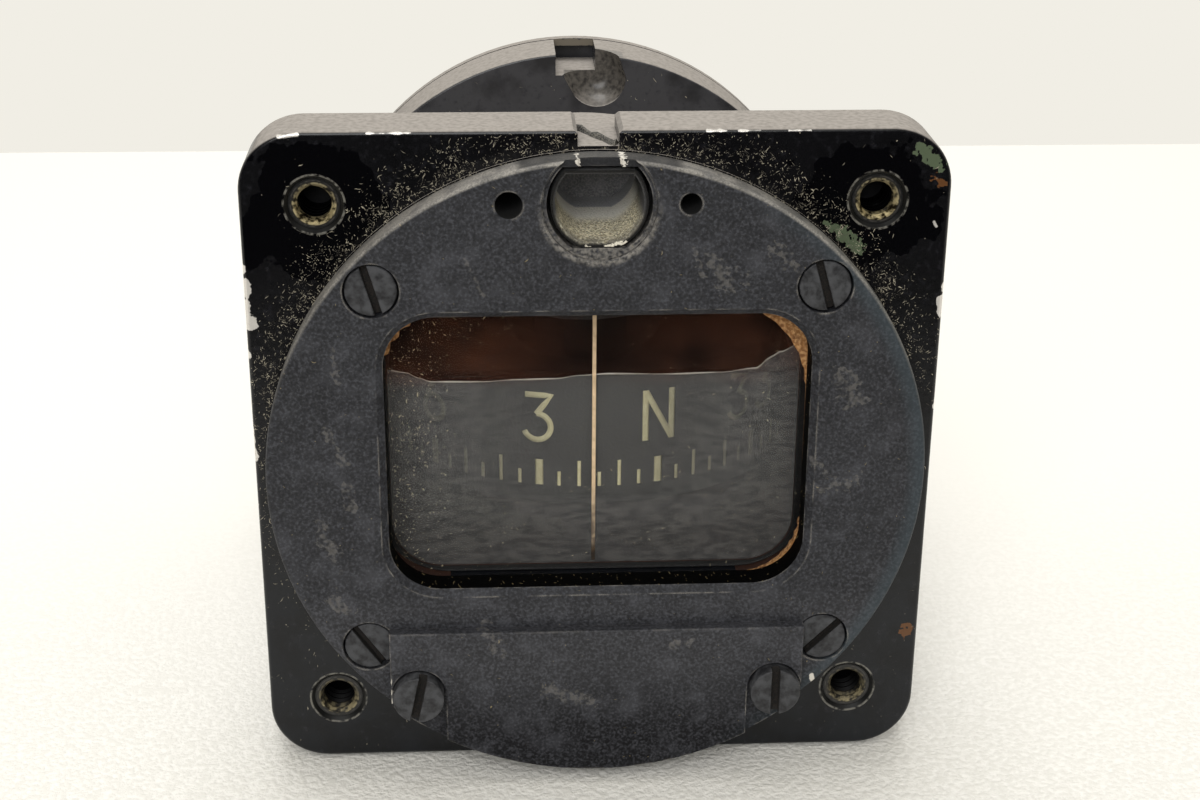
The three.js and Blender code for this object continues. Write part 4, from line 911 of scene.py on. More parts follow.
class Finishes:
    """The compass's finishes, named for their real material or for the painted shade or highlight."""

    enamel = StovedEnamel("stoved_enamel_on_cast_aluminium")
    charcoal = CharcoalPaint("sprayed_matt_charcoal_paint")
    # Blackened steel looks near black, with grey where the oxide has rubbed off
    screw = Metal("oil_blackened_steel", "#1B1B1E", "#48494C", 0.5, 0.3, 0.25, 0.8)
    # Painted shade in the screws' slots: a near black, matt fill
    slot_shade = Matt("screw_slot_painted_shade", "#0D0C0B", "#16120F", "#2A211A", 0.8, 0.2, 0.4, 0.9, 0.4)
    # Turned brass shows warm glints under a brown tarnish
    brass = Metal("turned_brass", "#B08E4C", "#5C4627", 0.3)
    # Ground tool steel of shafts and the pivot
    steel = Metal("ground_steel", "#8F9297", "#5E6064", 0.3)
    # Machined aluminium, grey with oxide
    aluminium = Metal("machined_aluminium", "#A9ABAE", "#7E8084", 0.4)
    # Cast cobalt-steel magnets, dark grey and dull
    magnet = Metal("cast_magnet_alloy", "#606166", "#404145", 0.45)
    # Spun phosphor bronze of the diaphragm
    bronze = Metal("spun_phosphor_bronze", "#A87A4C", "#6E4D30", 0.35)
    # Synthetic ruby of the jewel
    ruby = Matt("polished_synthetic_ruby", "#8E1834", "#A22440", "#7A1028", 2.0, 0.6, 0.2, 0.12, 0.0)
    # Moulded nitrile seals
    rubber = Matt("moulded_black_rubber", "#141414", "#1D1D1D", "#262626", 2.0, 0.3, 0.4, 0.85, 0.3)
    # Sheet cork of the gasket, orange-brown with dark and pale crumbs
    cork = Matt("sheet_cork", "#9A6B3C", "#6B4526", "#C79A68", 0.9, 0.28, 0.75, 0.95, 0.8)
    # Matt black lacquer of the card and its float
    card = Matt("matt_black_card_lacquer", "#424241", "#4A4A49", "#53524F", 3.5, 0.3, 0.35, 0.75, 0.2)
    # Printed cream paint of the card's figures
    figures = Matt("printed_cream_paint", "#E6DFB6", "#D6CEA4", "#B5AE88", 1.2, 0.2, 0.35, 0.7, 0.1)
    # Dull black paint inside the bowl, stained brown above the liquid
    inside = Matt("stained_bowl_lacquer", "#2A150C", "#3A1E12", "#41261A", 6.0, 0.5, 0.4, 0.6, 0.3)
    # Dull paint at the bottom of the lamp well
    well = Matt("dusty_well_paint", "#7C7C7F", "#626266", "#A9A7A2", 1.2, 0.18, 0.5, 0.85, 0.5)
    # Walls of the window: painted shade of the deep recess, near black, on which only a few fibres show
    sill = Matt("window_sill_painted_shade", "#010101", "#020202", "#030303", 2.0, 0.3, 0.4, 0.7, 0.2, 0.05, 0.06)
    # Painted shade in the two small bores, black without a gleam
    bore = Matt("bore_painted_shade", "#040404", "#060606", "#080808", 1.2, 0.18, 0.3, 0.95, 0.2)
    # Hardened sealing lacquer, torn where the lamp's lead left it
    sealant = Matt("torn_sealing_lacquer", "#3A3835", "#1C1B1A", "#8A857A", 0.6, 0.14, 0.5, 0.7, 0.8)
    insert = StainedBrass("painted_brass_worn_bright")
    fibre = LampFibre("dusty_pressed_fibre")
    glass = WindowGlass("dusty_plate_glass")
    liquid = DampingLiquid("aged_damping_spirit")
    # Bright bead where the liquid climbs the glass: a painted highlight of the meniscus
    brim = Matt("meniscus_painted_highlight", "#A9A498", "#8E887D", "#C2BDB2", 1.5, 0.4, 0.4, 0.25, 0.1)
    lubber = LubberPaint("aged_cream_enamel")
    foam = FoamFloor("foam_floor")


class Solid:
    """A closed solid in instrument millimetres, shaped by bmesh operators."""

    def __init__(self) -> None:
        """Starts with an empty mesh."""
        self.bm = bmesh.new()

    def settled(self) -> "Solid":
        """Merges doubles, drops slivers and turns the faces outwards.

        Returns:
            The solid.
        """
        bmesh.ops.remove_doubles(self.bm, verts=self.bm.verts[:], dist=WELD)
        bmesh.ops.dissolve_degenerate(self.bm, edges=self.bm.edges[:], dist=SLIVER)
        bmesh.ops.recalc_face_normals(self.bm, faces=self.bm.faces[:])
        return self

    def broken(self, geom: list, rounding: float, segments: int, affect: str = "EDGES") -> None:
        """Rounds edges or corners to a radius, in as many steps as segments says."""
        bmesh.ops.bevel(self.bm, geom=geom, offset=rounding, offset_type="OFFSET", affect=affect,
                        segments=segments, profile=0.5, material=-1, clamp_overlap=True)

    @classmethod
    def prism(cls, outline: Outline, front: float, back: float, rounding: float = 0.0,
              segments: int = 4) -> "Solid":
        """Pushes an outline from one depth to another.

        Args:
            outline: Points in X and Z.
            front: Depth of the front face.
            back: Depth of the back face.
            rounding: Radius that breaks both rims.
            segments: Steps of that radius.

        Returns:
            The prism.
        """
        solid = cls()
        face = solid.bm.faces.new([solid.bm.verts.new((x, back, z)) for x, z in outline])
        pushed = bmesh.ops.extrude_face_region(solid.bm, geom=[face], use_keep_orig=True)
        moved = [g for g in pushed["geom"] if isinstance(g, bmesh.types.BMVert)]
        bmesh.ops.translate(solid.bm, vec=(0, front - back, 0), verts=moved)
        if rounding:
            rims = [e for e in solid.bm.edges
                    if abs(e.verts[0].co.y - e.verts[1].co.y) < FIT_GAP / 100]
            solid.broken(rims, rounding, segments)
        return solid.settled()

    @classmethod
    def loft(cls, loops: Sequence[tuple[Outline, float]]) -> "Solid":
        """Returns outlines of as many points, each with its depth, joined to a closed solid."""
        return cls.skinned([[(x, depth, z) for x, z in outline] for outline, depth in loops])

    @classmethod
    def skinned(cls, sections: Sequence[Sequence[Place]]) -> "Solid":
        """Stretches a skin over cross-sections that follow one another, and closes both ends.

        Args:
            sections: Points of each section, as many in all.

        Returns:
            The closed solid.
        """
        solid = cls()
        rings = [[solid.bm.verts.new(point) for point in section] for section in sections]
        for near, far in zip(rings, rings[1:]):
            for i, vert in enumerate(near):
                solid.bm.faces.new((near[i - 1], vert, far[i], far[i - 1]))
        for ring in (rings[0], rings[-1]):
            solid.bm.faces.new(ring)
        return solid.settled()

    @classmethod
    def turned(cls, profile: Outline, sides: int = 96, rounding: float = 0.0, upright: bool = False,
               segments: int = 3) -> "Solid":
        """Turns a profile a full circle about the instrument's axis.

        Args:
            profile: Points of radius and depth, or of radius and height if it stands upright.
            sides: Sides of the circle.
            rounding: Radius that breaks the profile's corners.
            upright: True to turn about Z instead of Y.
            segments: Steps of that radius.

        Returns:
            The turned solid.
        """
        solid = cls()
        verts = [solid.bm.verts.new((r, 0, t) if upright else (r, t, 0)) for r, t in profile]
        closed = profile[0][0] > 0 and profile[-1][0] > 0
        for pair in list(zip(verts, verts[1:])) + ([(verts[-1], verts[0])] if closed else []):
            solid.bm.edges.new(pair)
        if rounding:
            corners = [v for v in verts if len(v.link_edges) == 2]
            solid.broken(corners, rounding, segments, "VERTICES")
        bmesh.ops.spin(solid.bm, geom=solid.bm.verts[:] + solid.bm.edges[:], cent=(0, 0, 0),
                       axis=(0, 0, 1) if upright else (0, 1, 0), dvec=(0, 0, 0), angle=2 * math.pi,
                       steps=sides, use_merge=True, use_duplicate=False)
        return solid.settled()

    @classmethod
    def rod(cls, radius: float, front: float, back: float, x: float = 0.0, z: float = 0.0,
            sides: int = 48, flare: float = 0.0) -> "Solid":
        """Round rod along Y, or a cutter for a hole whose mouth is flared.

        Args:
            radius: Radius of the rod.
            front: Depth of its front.
            back: Depth of its back.
            x: Place across.
            z: Place in height.
            sides: Sides of the circle.
            flare: Width and depth of the flared mouth at the front.

        Returns:
            The rod.
        """
        mouth = [(0, front - OVERRUN), (radius + flare, front - OVERRUN), (radius + flare, front),
                 (radius, front + flare)] if flare else [(0, front), (radius, front)]
        return cls.turned([*mouth, (radius, back), (0, back)], sides).moved(x, 0, z)

    @classmethod
    def rods(cls, places: Iterable[Point], radius: float, front: float, back: float,
             sides: int = 24) -> list["Solid"]:
        """Returns a rod at each of the places."""
        return [cls.rod(radius, front, back, x, z, sides) for x, z in places]

    @classmethod
    def box(cls, low: Place, high: Place, rounding: float = 0.0) -> "Solid":
        """Block between two corners.

        Args:
            low: Its lowest corner.
            high: Its highest corner.
            rounding: Radius that breaks its edges.

        Returns:
            The block.
        """
        solid = cls()
        bmesh.ops.create_cube(solid.bm, size=1)
        bmesh.ops.scale(solid.bm, vec=[b - a for a, b in zip(low, high)], verts=solid.bm.verts[:])
        solid.moved(*((a + b) / 2 for a, b in zip(low, high)))
        if rounding:
            solid.broken(solid.bm.edges[:], rounding, 2)
        return solid

    def moved(self, x: float, y: float, z: float) -> "Solid":
        """Returns the solid, shifted."""
        bmesh.ops.translate(self.bm, vec=(x, y, z), verts=self.bm.verts[:])
        return self

    def turned_by(self, angle: float, axis: str) -> "Solid":
        """Returns the solid, turned in radians about an axis through the origin."""
        bmesh.ops.rotate(self.bm, cent=(0, 0, 0), matrix=Matrix.Rotation(angle, 3, axis),
                         verts=self.bm.verts[:])
        return self

    def at_filler(self) -> "Solid":
        """Returns a solid made along Y, laid along X at the filler plug."""
        return self.turned_by(-math.pi / 2, "Z").moved(0, PLACES.bowl_centre, PLACES.filler_height)

    def worked(self, tools: Iterable["Solid"], operation: Operation) -> "Solid":
        """Cuts, joins or keeps what the tools reach.

        Args:
            tools: Solids to work with, used up by it.
            operation: What they do.

        Returns:
            A new solid.
        """
        base = in_scene("base", self.to_mesh("base"))
        shelf = bpy.data.collections.new("tools")
        bpy.context.scene.collection.children.link(shelf)
        for tool in tools:
            shelf.objects.link(bpy.data.objects.new("tool", tool.to_mesh("tool")))
        step = base.modifiers.new("work", "BOOLEAN")
        step.operand_type = "COLLECTION"
        step.collection = shelf
        step.operation = operation.value
        step.solver = "EXACT"
        bpy.context.view_layer.update()
        made = bpy.data.meshes.new_from_object(base.evaluated_get(bpy.context.evaluated_depsgraph_get()))
        result = Solid()
        result.bm.from_mesh(made)
        for piece in [base, *shelf.objects]:
            bpy.data.objects.remove(piece)
        bpy.data.collections.remove(shelf)
        bpy.data.meshes.remove(made)
        bmesh.ops.remove_doubles(result.bm, verts=result.bm.verts[:], dist=WELD)
        return result

    def cut(self, tools: Iterable["Solid"]) -> "Solid":
        """Returns the solid less the tools."""
        return self.worked(tools, Operation.CUT)

    def to_mesh(self, name: str) -> bpy.types.Mesh:
        """Writes the solid to a mesh and lets its bmesh go.

        Args:
            name: Name of the mesh.

        Returns:
            The mesh.
        """
        mesh = bpy.data.meshes.new(name)
        self.bm.to_mesh(mesh)
        self.bm.free()
        return mesh


class Maker:
    """Turns solids into finished pieces of the scene."""

    sharp = math.radians(34)

    @classmethod
    def piece(cls, name: str, solid: Solid, finish: Finish, body: Body = Body.CASE,
              nodes: Sequence[str] = (), slot: str | None = None, smooth: bool = True,
              inner: Sequence[tuple[Finish, Callable[[Vector], bool]]] = ()) -> bpy.types.Object:
        """Makes one piece, in the frame's place and metres.

        Args:
            name: Name of the piece.
            solid: Its shape, used up by this.
            finish: Its finish.
            body: Body that it rides on.
            nodes: CAD nodes that it stands for.
            slot: Material slot of the record; not used.
            smooth: True to smooth all but its sharp edges.
            inner: Further finishes, each with the test of a face's middle that gives it.

        Returns:
            The object.
        """
        for index, (_, chosen) in enumerate(inner):
            for face in solid.bm.faces:
                if chosen(face.calc_center_median()):
                    face.material_index = index + 1
        bmesh.ops.transform(solid.bm, matrix=TO_FRAME, verts=solid.bm.verts[:])
        mesh = solid.to_mesh(name)
        made = in_scene(name, mesh)
        for used in [finish, *(other for other, _ in inner)]:
            mesh.materials.append(used.material())
        if smooth:
            mesh.shade_smooth()
            mesh.set_sharp_from_angle(angle=cls.sharp)
            even = made.modifiers.new("even_normals", "WEIGHTED_NORMAL")
            even.keep_sharp = True
        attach(made, body.value)
        if nodes:
            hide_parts(*nodes)
        log.info("%s: %d faces on %s", name, len(mesh.polygons), body.value)
        return made

    @staticmethod
    def dress(finish: Finish, *nodes: str) -> None:
        """Gives a finish to CAD nodes that keep their own shape.

        Args:
            finish: The finish.
            *nodes: Names of the nodes.
        """
        for name in nodes:
            shown = frame["nodes"][name]
            shown.data.materials.clear()
            shown.data.materials.append(finish.material())
            log.info("%s: kept, %s", name, finish.name)


def arc(x: float, z: float, radius: float, start: float, end: float, steps: int) -> list[Point]:
    """Returns the points of an arc between two angles in radians, both ends included."""
    angles = [start + (end - start) * i / steps for i in range(steps + 1)]
    return [(x + radius * math.cos(a), z + radius * math.sin(a)) for a in angles]


def rounded(left: float, right: float, low: float, high: float, corner: float | Sequence[float],
            steps: int = 12) -> list[Point]:
    """Outline of a rectangle with round corners, anticlockwise as the dial is read.

    Args:
        left: Left side.
        right: Right side.
        low: Lower side.
        high: Upper side.
        corner: One radius, or those of the upper right, upper left, lower left and lower right.
        steps: Steps of each corner.

    Returns:
        The outline's points.
    """
    radii = (corner,) * 4 if isinstance(corner, (int, float)) else corner
    made = []
    for i, (radius, (across, up)) in enumerate(zip(radii, ((1, 1), (-1, 1), (-1, -1), (1, -1)))):
        x = right - radius if across > 0 else left + radius
        z = high - radius if up > 0 else low + radius
        made += arc(x, z, radius, i * math.pi / 2, (i + 1) * math.pi / 2, steps)
    return made


@dataclass(frozen=True)
class Window:
    """Opening of the dial, which bezel, glass, gasket, seal and casting share."""

    half: float = 18.25
    top: float = 14.5
    bottom: float = -11.1
    corner: float = 4.5
    deeper: float = 1.0

    def outline(self, margin: float, corner: float) -> list[Point]:
        """Returns the opening grown by a margin, with its own corner radius."""
        return rounded(-self.half - margin, self.half + margin, self.bottom - margin,
                       self.top + margin, corner)

    def behind(self, margin: float = 0.1) -> list[Point]:
        """Returns the opening behind the glass, which reaches lower than the dial's."""
        return rounded(-self.half - margin, self.half + margin, self.bottom - margin - self.deeper,
                       self.top + margin, self.corner)


@dataclass(frozen=True)
class LampHole:
    """Round hole for the dial lamp, cut off flat above and below."""

    radius: float = 4.4
    z: float = 24.2
    top: float = 3.15
    bottom: float = 3.8
    depth: float = 10.8
    steps: int = 14

    def outline(self, inset: float = 0.0, foot: float = 0.0) -> list[Point]:
        """Draws the hole.

        Args:
            inset: How far it is drawn in all round.
            foot: How far its lower flat is drawn in.

        Returns:
            The outline's points.
        """
        radius = self.radius - inset
        up = math.asin((self.top - inset) / radius)
        down = math.asin((self.bottom - foot) / radius)
        return [*arc(0, self.z, radius, -down, up, self.steps),
                *arc(0, self.z, radius, math.pi - up, math.pi + down, self.steps)]


@dataclass(frozen=True)
class Layout:
    """Places and bores that several pieces share, in millimetres."""

    mount_half: float = 23.57
    bezel_drop: float = 0.5
    bezel_circle: float = 25.83
    upper_angle: float = math.radians(42.7)
    cover_screw: Point = (16.0, -20.8)
    lower_screw_step: float = 4.3
    screw_bore: float = 1.35
    rear_circle: float = 24.7
    rear_screws: int = 6
    rear_bore: float = 1.0
    bowl_centre: float = 25.8
    filler_height: float = 10.0
    small_holes: tuple[Place, ...] = ((-7.5, 24.3, 1.15), (7.5, 24.3, 0.9))
    scoop: Point = (2.2, 24.2)
    scoop_radius: float = 3.0

    def mounts(self) -> list[Point]:
        """Returns the places of the mounting inserts."""
        return [(x * self.mount_half, z * self.mount_half) for z in (1, -1) for x in (-1, 1)]

    def bezel_screws(self) -> list[Point]:
        """Places the bezel's screws on their circle.

        Returns:
            The four places, the upper pair first.
        """
        x = self.bezel_circle * math.cos(self.upper_angle)
        z = self.bezel_circle * math.sin(self.upper_angle) - self.bezel_drop
        low_x = self.cover_screw[0] + self.lower_screw_step
        low_z = -math.sqrt(self.bezel_circle ** 2 - low_x ** 2) - self.bezel_drop
        return [(-x, z), (x, z), (-low_x, low_z), (low_x, low_z)]

    def cover_screws(self) -> list[Point]:
        """Returns the places of the cover's screws."""
        x, z = self.cover_screw
        return [(-x, z), (x, z)]

    def rear(self) -> list[Point]:
        """Returns the places of the rear screws."""
        turns = [2 * math.pi * i / self.rear_screws for i in range(self.rear_screws)]
        return [(self.rear_circle * math.cos(a), self.rear_circle * math.sin(a)) for a in turns]

    def in_small_hole(self, middle: Vector) -> bool:
        """Returns whether a point lies in one of the two small holes beside the lamp well."""
        return any(math.hypot(middle.x - x, middle.z - z) < r + NEAR for x, z, r in self.small_holes)


WINDOW = Window()
LAMP = LampHole()
PLACES = Layout()


@dataclass
class Casting:
    """Sand-cast case: flange, bowl, rear disc and compensator housing in one."""

    side: float = 59.6
    thick: float = 6.5
    corner: float = 5.2
    rim: float = 0.4
    seat: float = 0.15
    seat_radius: float = 28.65
    neck: float = 28.4
    neck_back: float = 11.2
    shoulder: float = 3.0
    bowl: float = 24.0
    bowl_rounding: float = 0.3
    wall: float = 1.4
    floor: float = -13.2
    ceiling: float = 17.5
    waist: float = 20.0
    disc: float = 26.8
    disc_front: float = 42.2
    disc_back: float = 49.5
    recess: float = 22.7
    recess_floor: float = 48.4
    bore: float = 17.2
    bore_start: float = 38.0
    housing: Place = (17.5, -26.8, 29.0)
    housing_corner: float = 3.0
    housing_rounding: float = 1.4
    pocket: tuple[float, float, float, float] = (13.4, -25.2, -15.2, 25.0)
    pocket_corner: float = 1.2
    boss: Place = (4.2, 20.0, 25.4)
    filler_bore: Place = (2.6, 19.0, 27.0)
    lead_slot: Pair = (3.45, 1.4)
    slot_edge: float = 0.35
    rear_slot: Pair = (4.2, 2.3)
    scoop_steps: tuple[Point, ...] = ((0, 0), (0.25, 0.8), (0.7, 1.6), (1.4, 2.2), (2.2, 2.4))
    scoop_turn: float = math.radians(207)
    scoop_lean: float = 1.2
    ramp: float = 1.1
    ledge: float = 4.1
    ledge_lap: float = 1.45
    ledge_corner: float = 6.6
    tunnel: float = 12.0
    mount_hole: float = 2.2
    mount_floor: float = 1.0
    mount_flare: float = 0.3
    small_depth: float = 5.0
    screw_depth: float = 9.6
    rear_depth: float = 5.2
    inner_start: float = 0.4
    bore_mouth: float = 0.2
    window_room: tuple[Place, Place] = ((-20, 0.4, -12.7), (20, 17, 16.1))

    def body(self) -> Solid:
        """Shapes the outer form.

        Returns:
            The casting without its hollows.
        """
        half, inside = self.side / 2, self.thick / 2
        flange = Solid.prism(rounded(-half, half, -half, half, self.corner, 16), self.seat, self.thick,
                             self.rim)
        seat = Solid.rod(self.seat_radius, 0, inside, 0, -PLACES.bezel_drop, 128)
        ball = arc(0, PLACES.bowl_centre, self.bowl, 0, math.acos(self.waist / self.bowl), 14)
        bowl = Solid.turned([
            (0, inside), (self.neck, inside), (self.neck, self.neck_back),
            (self.bowl, self.neck_back + self.shoulder), *ball,
            (self.waist, self.disc_front), (self.disc, self.disc_front), (self.disc, self.disc_back),
            (0, self.disc_back),
        ], 128, self.bowl_rounding)
        wide, low, back = self.housing
        housing = Solid.prism(rounded(-wide, wide, low, 0, self.housing_corner, 8), inside, back,
                              self.housing_rounding, 5)
        return flange.worked([seat, bowl, housing, Solid.rod(*self.boss).at_filler()], Operation.JOIN)

    def hollows(self) -> list[Solid]:
        """Shapes the chamber, the window's seat and the rear bore.

        Returns:
            Their cutters.
        """
        radius = self.bowl - self.wall
        wall = arc(0, 0, radius, math.asin(self.floor / radius), math.asin(self.ceiling / radius), 16)
        ball = Solid.turned([(0, self.floor), *wall, (0, self.ceiling)], 96, upright=True)
        return [
            ball.moved(0, PLACES.bowl_centre, 0),
            Solid.prism(WINDOW.behind(), self.ledge - OVERRUN, self.ledge + self.tunnel),
            Solid.prism(WINDOW.outline(self.ledge_lap, self.ledge_corner), -OVERRUN, self.ledge),
            Solid.rod(self.bore, self.bore_start, self.recess_floor + OVERRUN, sides=96),
            Solid.rod(self.recess, self.recess_floor, self.disc_back + OVERRUN, sides=96),
        ]

    def holes(self) -> list[Solid]:
        """Shapes the holes, slots and pockets.

        Returns:
            Their cutters.
        """
        half, edge = self.side / 2, self.slot_edge
        x, deep = self.lead_slot[0] / 2, self.lead_slot[1]
        right = [(x, half - deep), (x, half - edge), (x + edge, half), (x + edge + OVERRUN, half + OVERRUN)]
        slot = [(-x, z) for x, z in reversed(right)] + right
        rear_half, rear_deep = self.rear_slot[0] / 2, self.rear_slot[1]
        pocket_half, pocket_low, pocket_high, pocket_back = self.pocket
        pocket = rounded(-pocket_half, pocket_half, pocket_low, pocket_high, self.pocket_corner, 4)
        return [
            Solid.prism(slot, -OVERRUN, self.neck_back + self.shoulder + OVERRUN),
            Solid.box((-rear_half, self.disc_front - OVERRUN, self.disc - rear_deep),
                      (rear_half, self.disc_back + OVERRUN, self.disc + OVERRUN)),
            self.scooped(),
            Solid.prism(LAMP.outline(), -OVERRUN, LAMP.depth),
            Solid.prism(pocket, -OVERRUN, pocket_back),
            *[Solid.rod(self.mount_hole, self.seat, self.thick - self.mount_floor, x, z,
                        flare=self.mount_flare) for x, z in PLACES.mounts()],
            *[Solid.rod(r, -OVERRUN, self.small_depth, x, z) for x, z, r in PLACES.small_holes],
            *Solid.rods(PLACES.bezel_screws() + PLACES.cover_screws(), PLACES.screw_bore, -OVERRUN,
                        self.screw_depth),
            *Solid.rods(PLACES.rear(), PLACES.rear_bore, self.disc_back - self.rear_depth,
                        self.disc_back + OVERRUN),
            Solid.rod(*self.filler_bore, sides=32).at_filler(),
        ]

    def scoop_outline(self, inset: float) -> Outline:
        """Draws the pocket beside the rear slot, with the ramp that leads into it.

        Args:
            inset: How far it is drawn in.

        Returns:
            The outline's points.
        """
        (x, z), radius = PLACES.scoop, PLACES.scoop_radius
        left, top = -self.rear_slot[0] / 2 + inset, self.disc + OVERRUN
        return [(left, top), (left, self.disc - self.ramp),
                *arc(x, z, radius - inset, self.scoop_turn, 2 * math.pi, 20),
                (x + radius - self.scoop_lean - inset, top)]

    def scooped(self) -> Solid:
        """Returns the cutter of that pocket, as a ball-ended tool leaves it."""
        steps = [(0, -OVERRUN), *self.scoop_steps]
        return Solid.loft([(self.scoop_outline(inset), self.disc_front + deep) for inset, deep in steps])

    def is_inside(self, middle: Vector) -> bool:
        """Finds the faces of the bowl's chamber and of the room behind the window.

        Args:
            middle: The face's middle.

        Returns:
            True for such a face.
        """
        reach = (middle - Vector((0, PLACES.bowl_centre, 0))).length
        in_room = all(low < part < high for low, part, high in zip(self.window_room[0], middle,
                                                                   self.window_room[1]))
        on_flat_back = any(abs(middle.y - back) < NEAR for back in (self.thick, self.housing[2]))
        return (reach < self.bowl - self.wall + 0.2 or in_room) and not on_flat_back

    def is_well(self, middle: Vector) -> bool:
        """Finds the faces of the lamp well.

        Args:
            middle: The face's middle.

        Returns:
            True for such a face.
        """
        reach = math.hypot(middle.x, middle.z - LAMP.z)
        under = middle.z < LAMP.z + LAMP.top + NEAR
        return self.inner_start < middle.y < LAMP.depth + NEAR and reach < LAMP.radius and under

    def is_bore(self, middle: Vector) -> bool:
        """Returns whether a face lies in one of the two small bores beside the lamp well."""
        return self.bore_mouth < middle.y < self.small_depth + NEAR and PLACES.in_small_hole(middle)

    def build(self) -> None:
        """Makes the casting."""
        solid = self.body().cut(self.hollows() + self.holes())
        # The bowl and the lamp well take their own paints; the two small bores take painted shade
        Maker.piece("case_shell", solid, Finishes.enamel, nodes=["case_casting"], slot="case_enamel",
                    inner=((Finishes.inside, self.is_inside), (Finishes.well, self.is_well),
                           (Finishes.bore, self.is_bore)))


@dataclass
class Bezel:
    """Round front bezel, its four screws and what shows in its openings."""

    radius: float = 28.6
    thick: float = 3.05
    rim: float = 0.4
    window_bevel: float = 0.6
    lamp_rim: Pair = (4.75, 0.6)
    lamp_flare: float = 0.12
    notch: Pair = (3.6, 0.9)
    head: float = 2.2
    head_height: float = 1.7
    seat_flare: float = 0.06
    small_flare: float = 0.08
    sink: float = 0.12
    turns: tuple[float, ...] = (-16, -16, -35, 45)
    access: tuple[float, float, float, float] = (12.2, -23.4, -16.6, 1.2)

    def plate(self) -> Solid:
        """Shapes the bezel with its openings.

        Returns:
            The solid.
        """
        front = -self.thick
        disc = Solid.turned([(0, front), (self.radius, front), (self.radius, 0), (0, 0)],
                            192, self.rim, segments=5).moved(0, 0, -PLACES.bezel_drop)
        rim_radius, rim_depth = self.lamp_rim
        wide, deep = self.notch
        half, low, high, corner = self.access
        seat, floor = self.head + FIT_GAP + self.seat_flare, front + self.sink + self.head_height + FIT_GAP
        return disc.cut([
            Solid.prism(WINDOW.outline(0, WINDOW.corner), front - OVERRUN, OVERRUN),
            self.flared_window(),
            Solid.prism(LAMP.outline(), front - OVERRUN, OVERRUN),
            Solid.rod(rim_radius, front, front + rim_depth, 0, LAMP.z, 96, self.lamp_flare),
            Solid.box((-wide / 2, front - OVERRUN, LAMP.z + LAMP.top - OVERRUN),
                      (wide / 2, front + deep, self.radius + OVERRUN)),
            Solid.prism(rounded(-half, half, low, high, corner, 4), front - OVERRUN, OVERRUN),
            *[Solid.rod(r, front, OVERRUN, x, z, 40, self.small_flare) for x, z, r in PLACES.small_holes],
            *[Solid.rod(seat, front, floor, x, z, 64, self.seat_flare) for x, z in PLACES.bezel_screws()],
            *Solid.rods(PLACES.bezel_screws() + PLACES.cover_screws(), PLACES.screw_bore,
                        front - OVERRUN, OVERRUN),
        ])

    def flared_window(self) -> Solid:
        """Shapes the bevel of the window's front edge.

        Returns:
            Its cutter.
        """
        bevel, past = self.window_bevel, OVERRUN / 2
        rows = ((2 * bevel, -bevel), (0, bevel), (-past, bevel + past))
        return Solid.loft([(WINDOW.outline(grown, WINDOW.corner + grown), deep - self.thick)
                           for grown, deep in rows])

    def is_sill(self, middle: Vector) -> bool:
        """Finds the window's walls, behind their bevel.

        Args:
            middle: The face's middle.

        Returns:
            True for such a face.
        """
        in_width = abs(middle.x) < WINDOW.half + NEAR
        in_height = WINDOW.bottom - NEAR < middle.z < WINDOW.top + NEAR
        return in_width and in_height and middle.y > self.window_bevel - self.thick + NEAR

    def is_bore(self, middle: Vector) -> bool:
        """Returns whether a face lies in one of the small holes, behind its flare."""
        return middle.y > FIT_GAP - self.thick and PLACES.in_small_hole(middle)

    def build(self) -> None:
        """Makes the bezel and its four screws, each turned as it was left."""
        # The window's walls and the two small holes take finishes of painted shade
        Maker.piece("bezel_ring", self.plate(), Finishes.charcoal, nodes=["front_bezel"],
                    slot="bezel_paint", inner=((Finishes.sill, self.is_sill), (Finishes.bore, self.is_bore)))
        screw = SlottedScrew(self.head, self.head_height, shank=1.25, length=9.2, slot=0.65, slot_depth=0.75)
        screw.build("bezel", PLACES.bezel_screws(), self.sink - self.thick, self.turns)


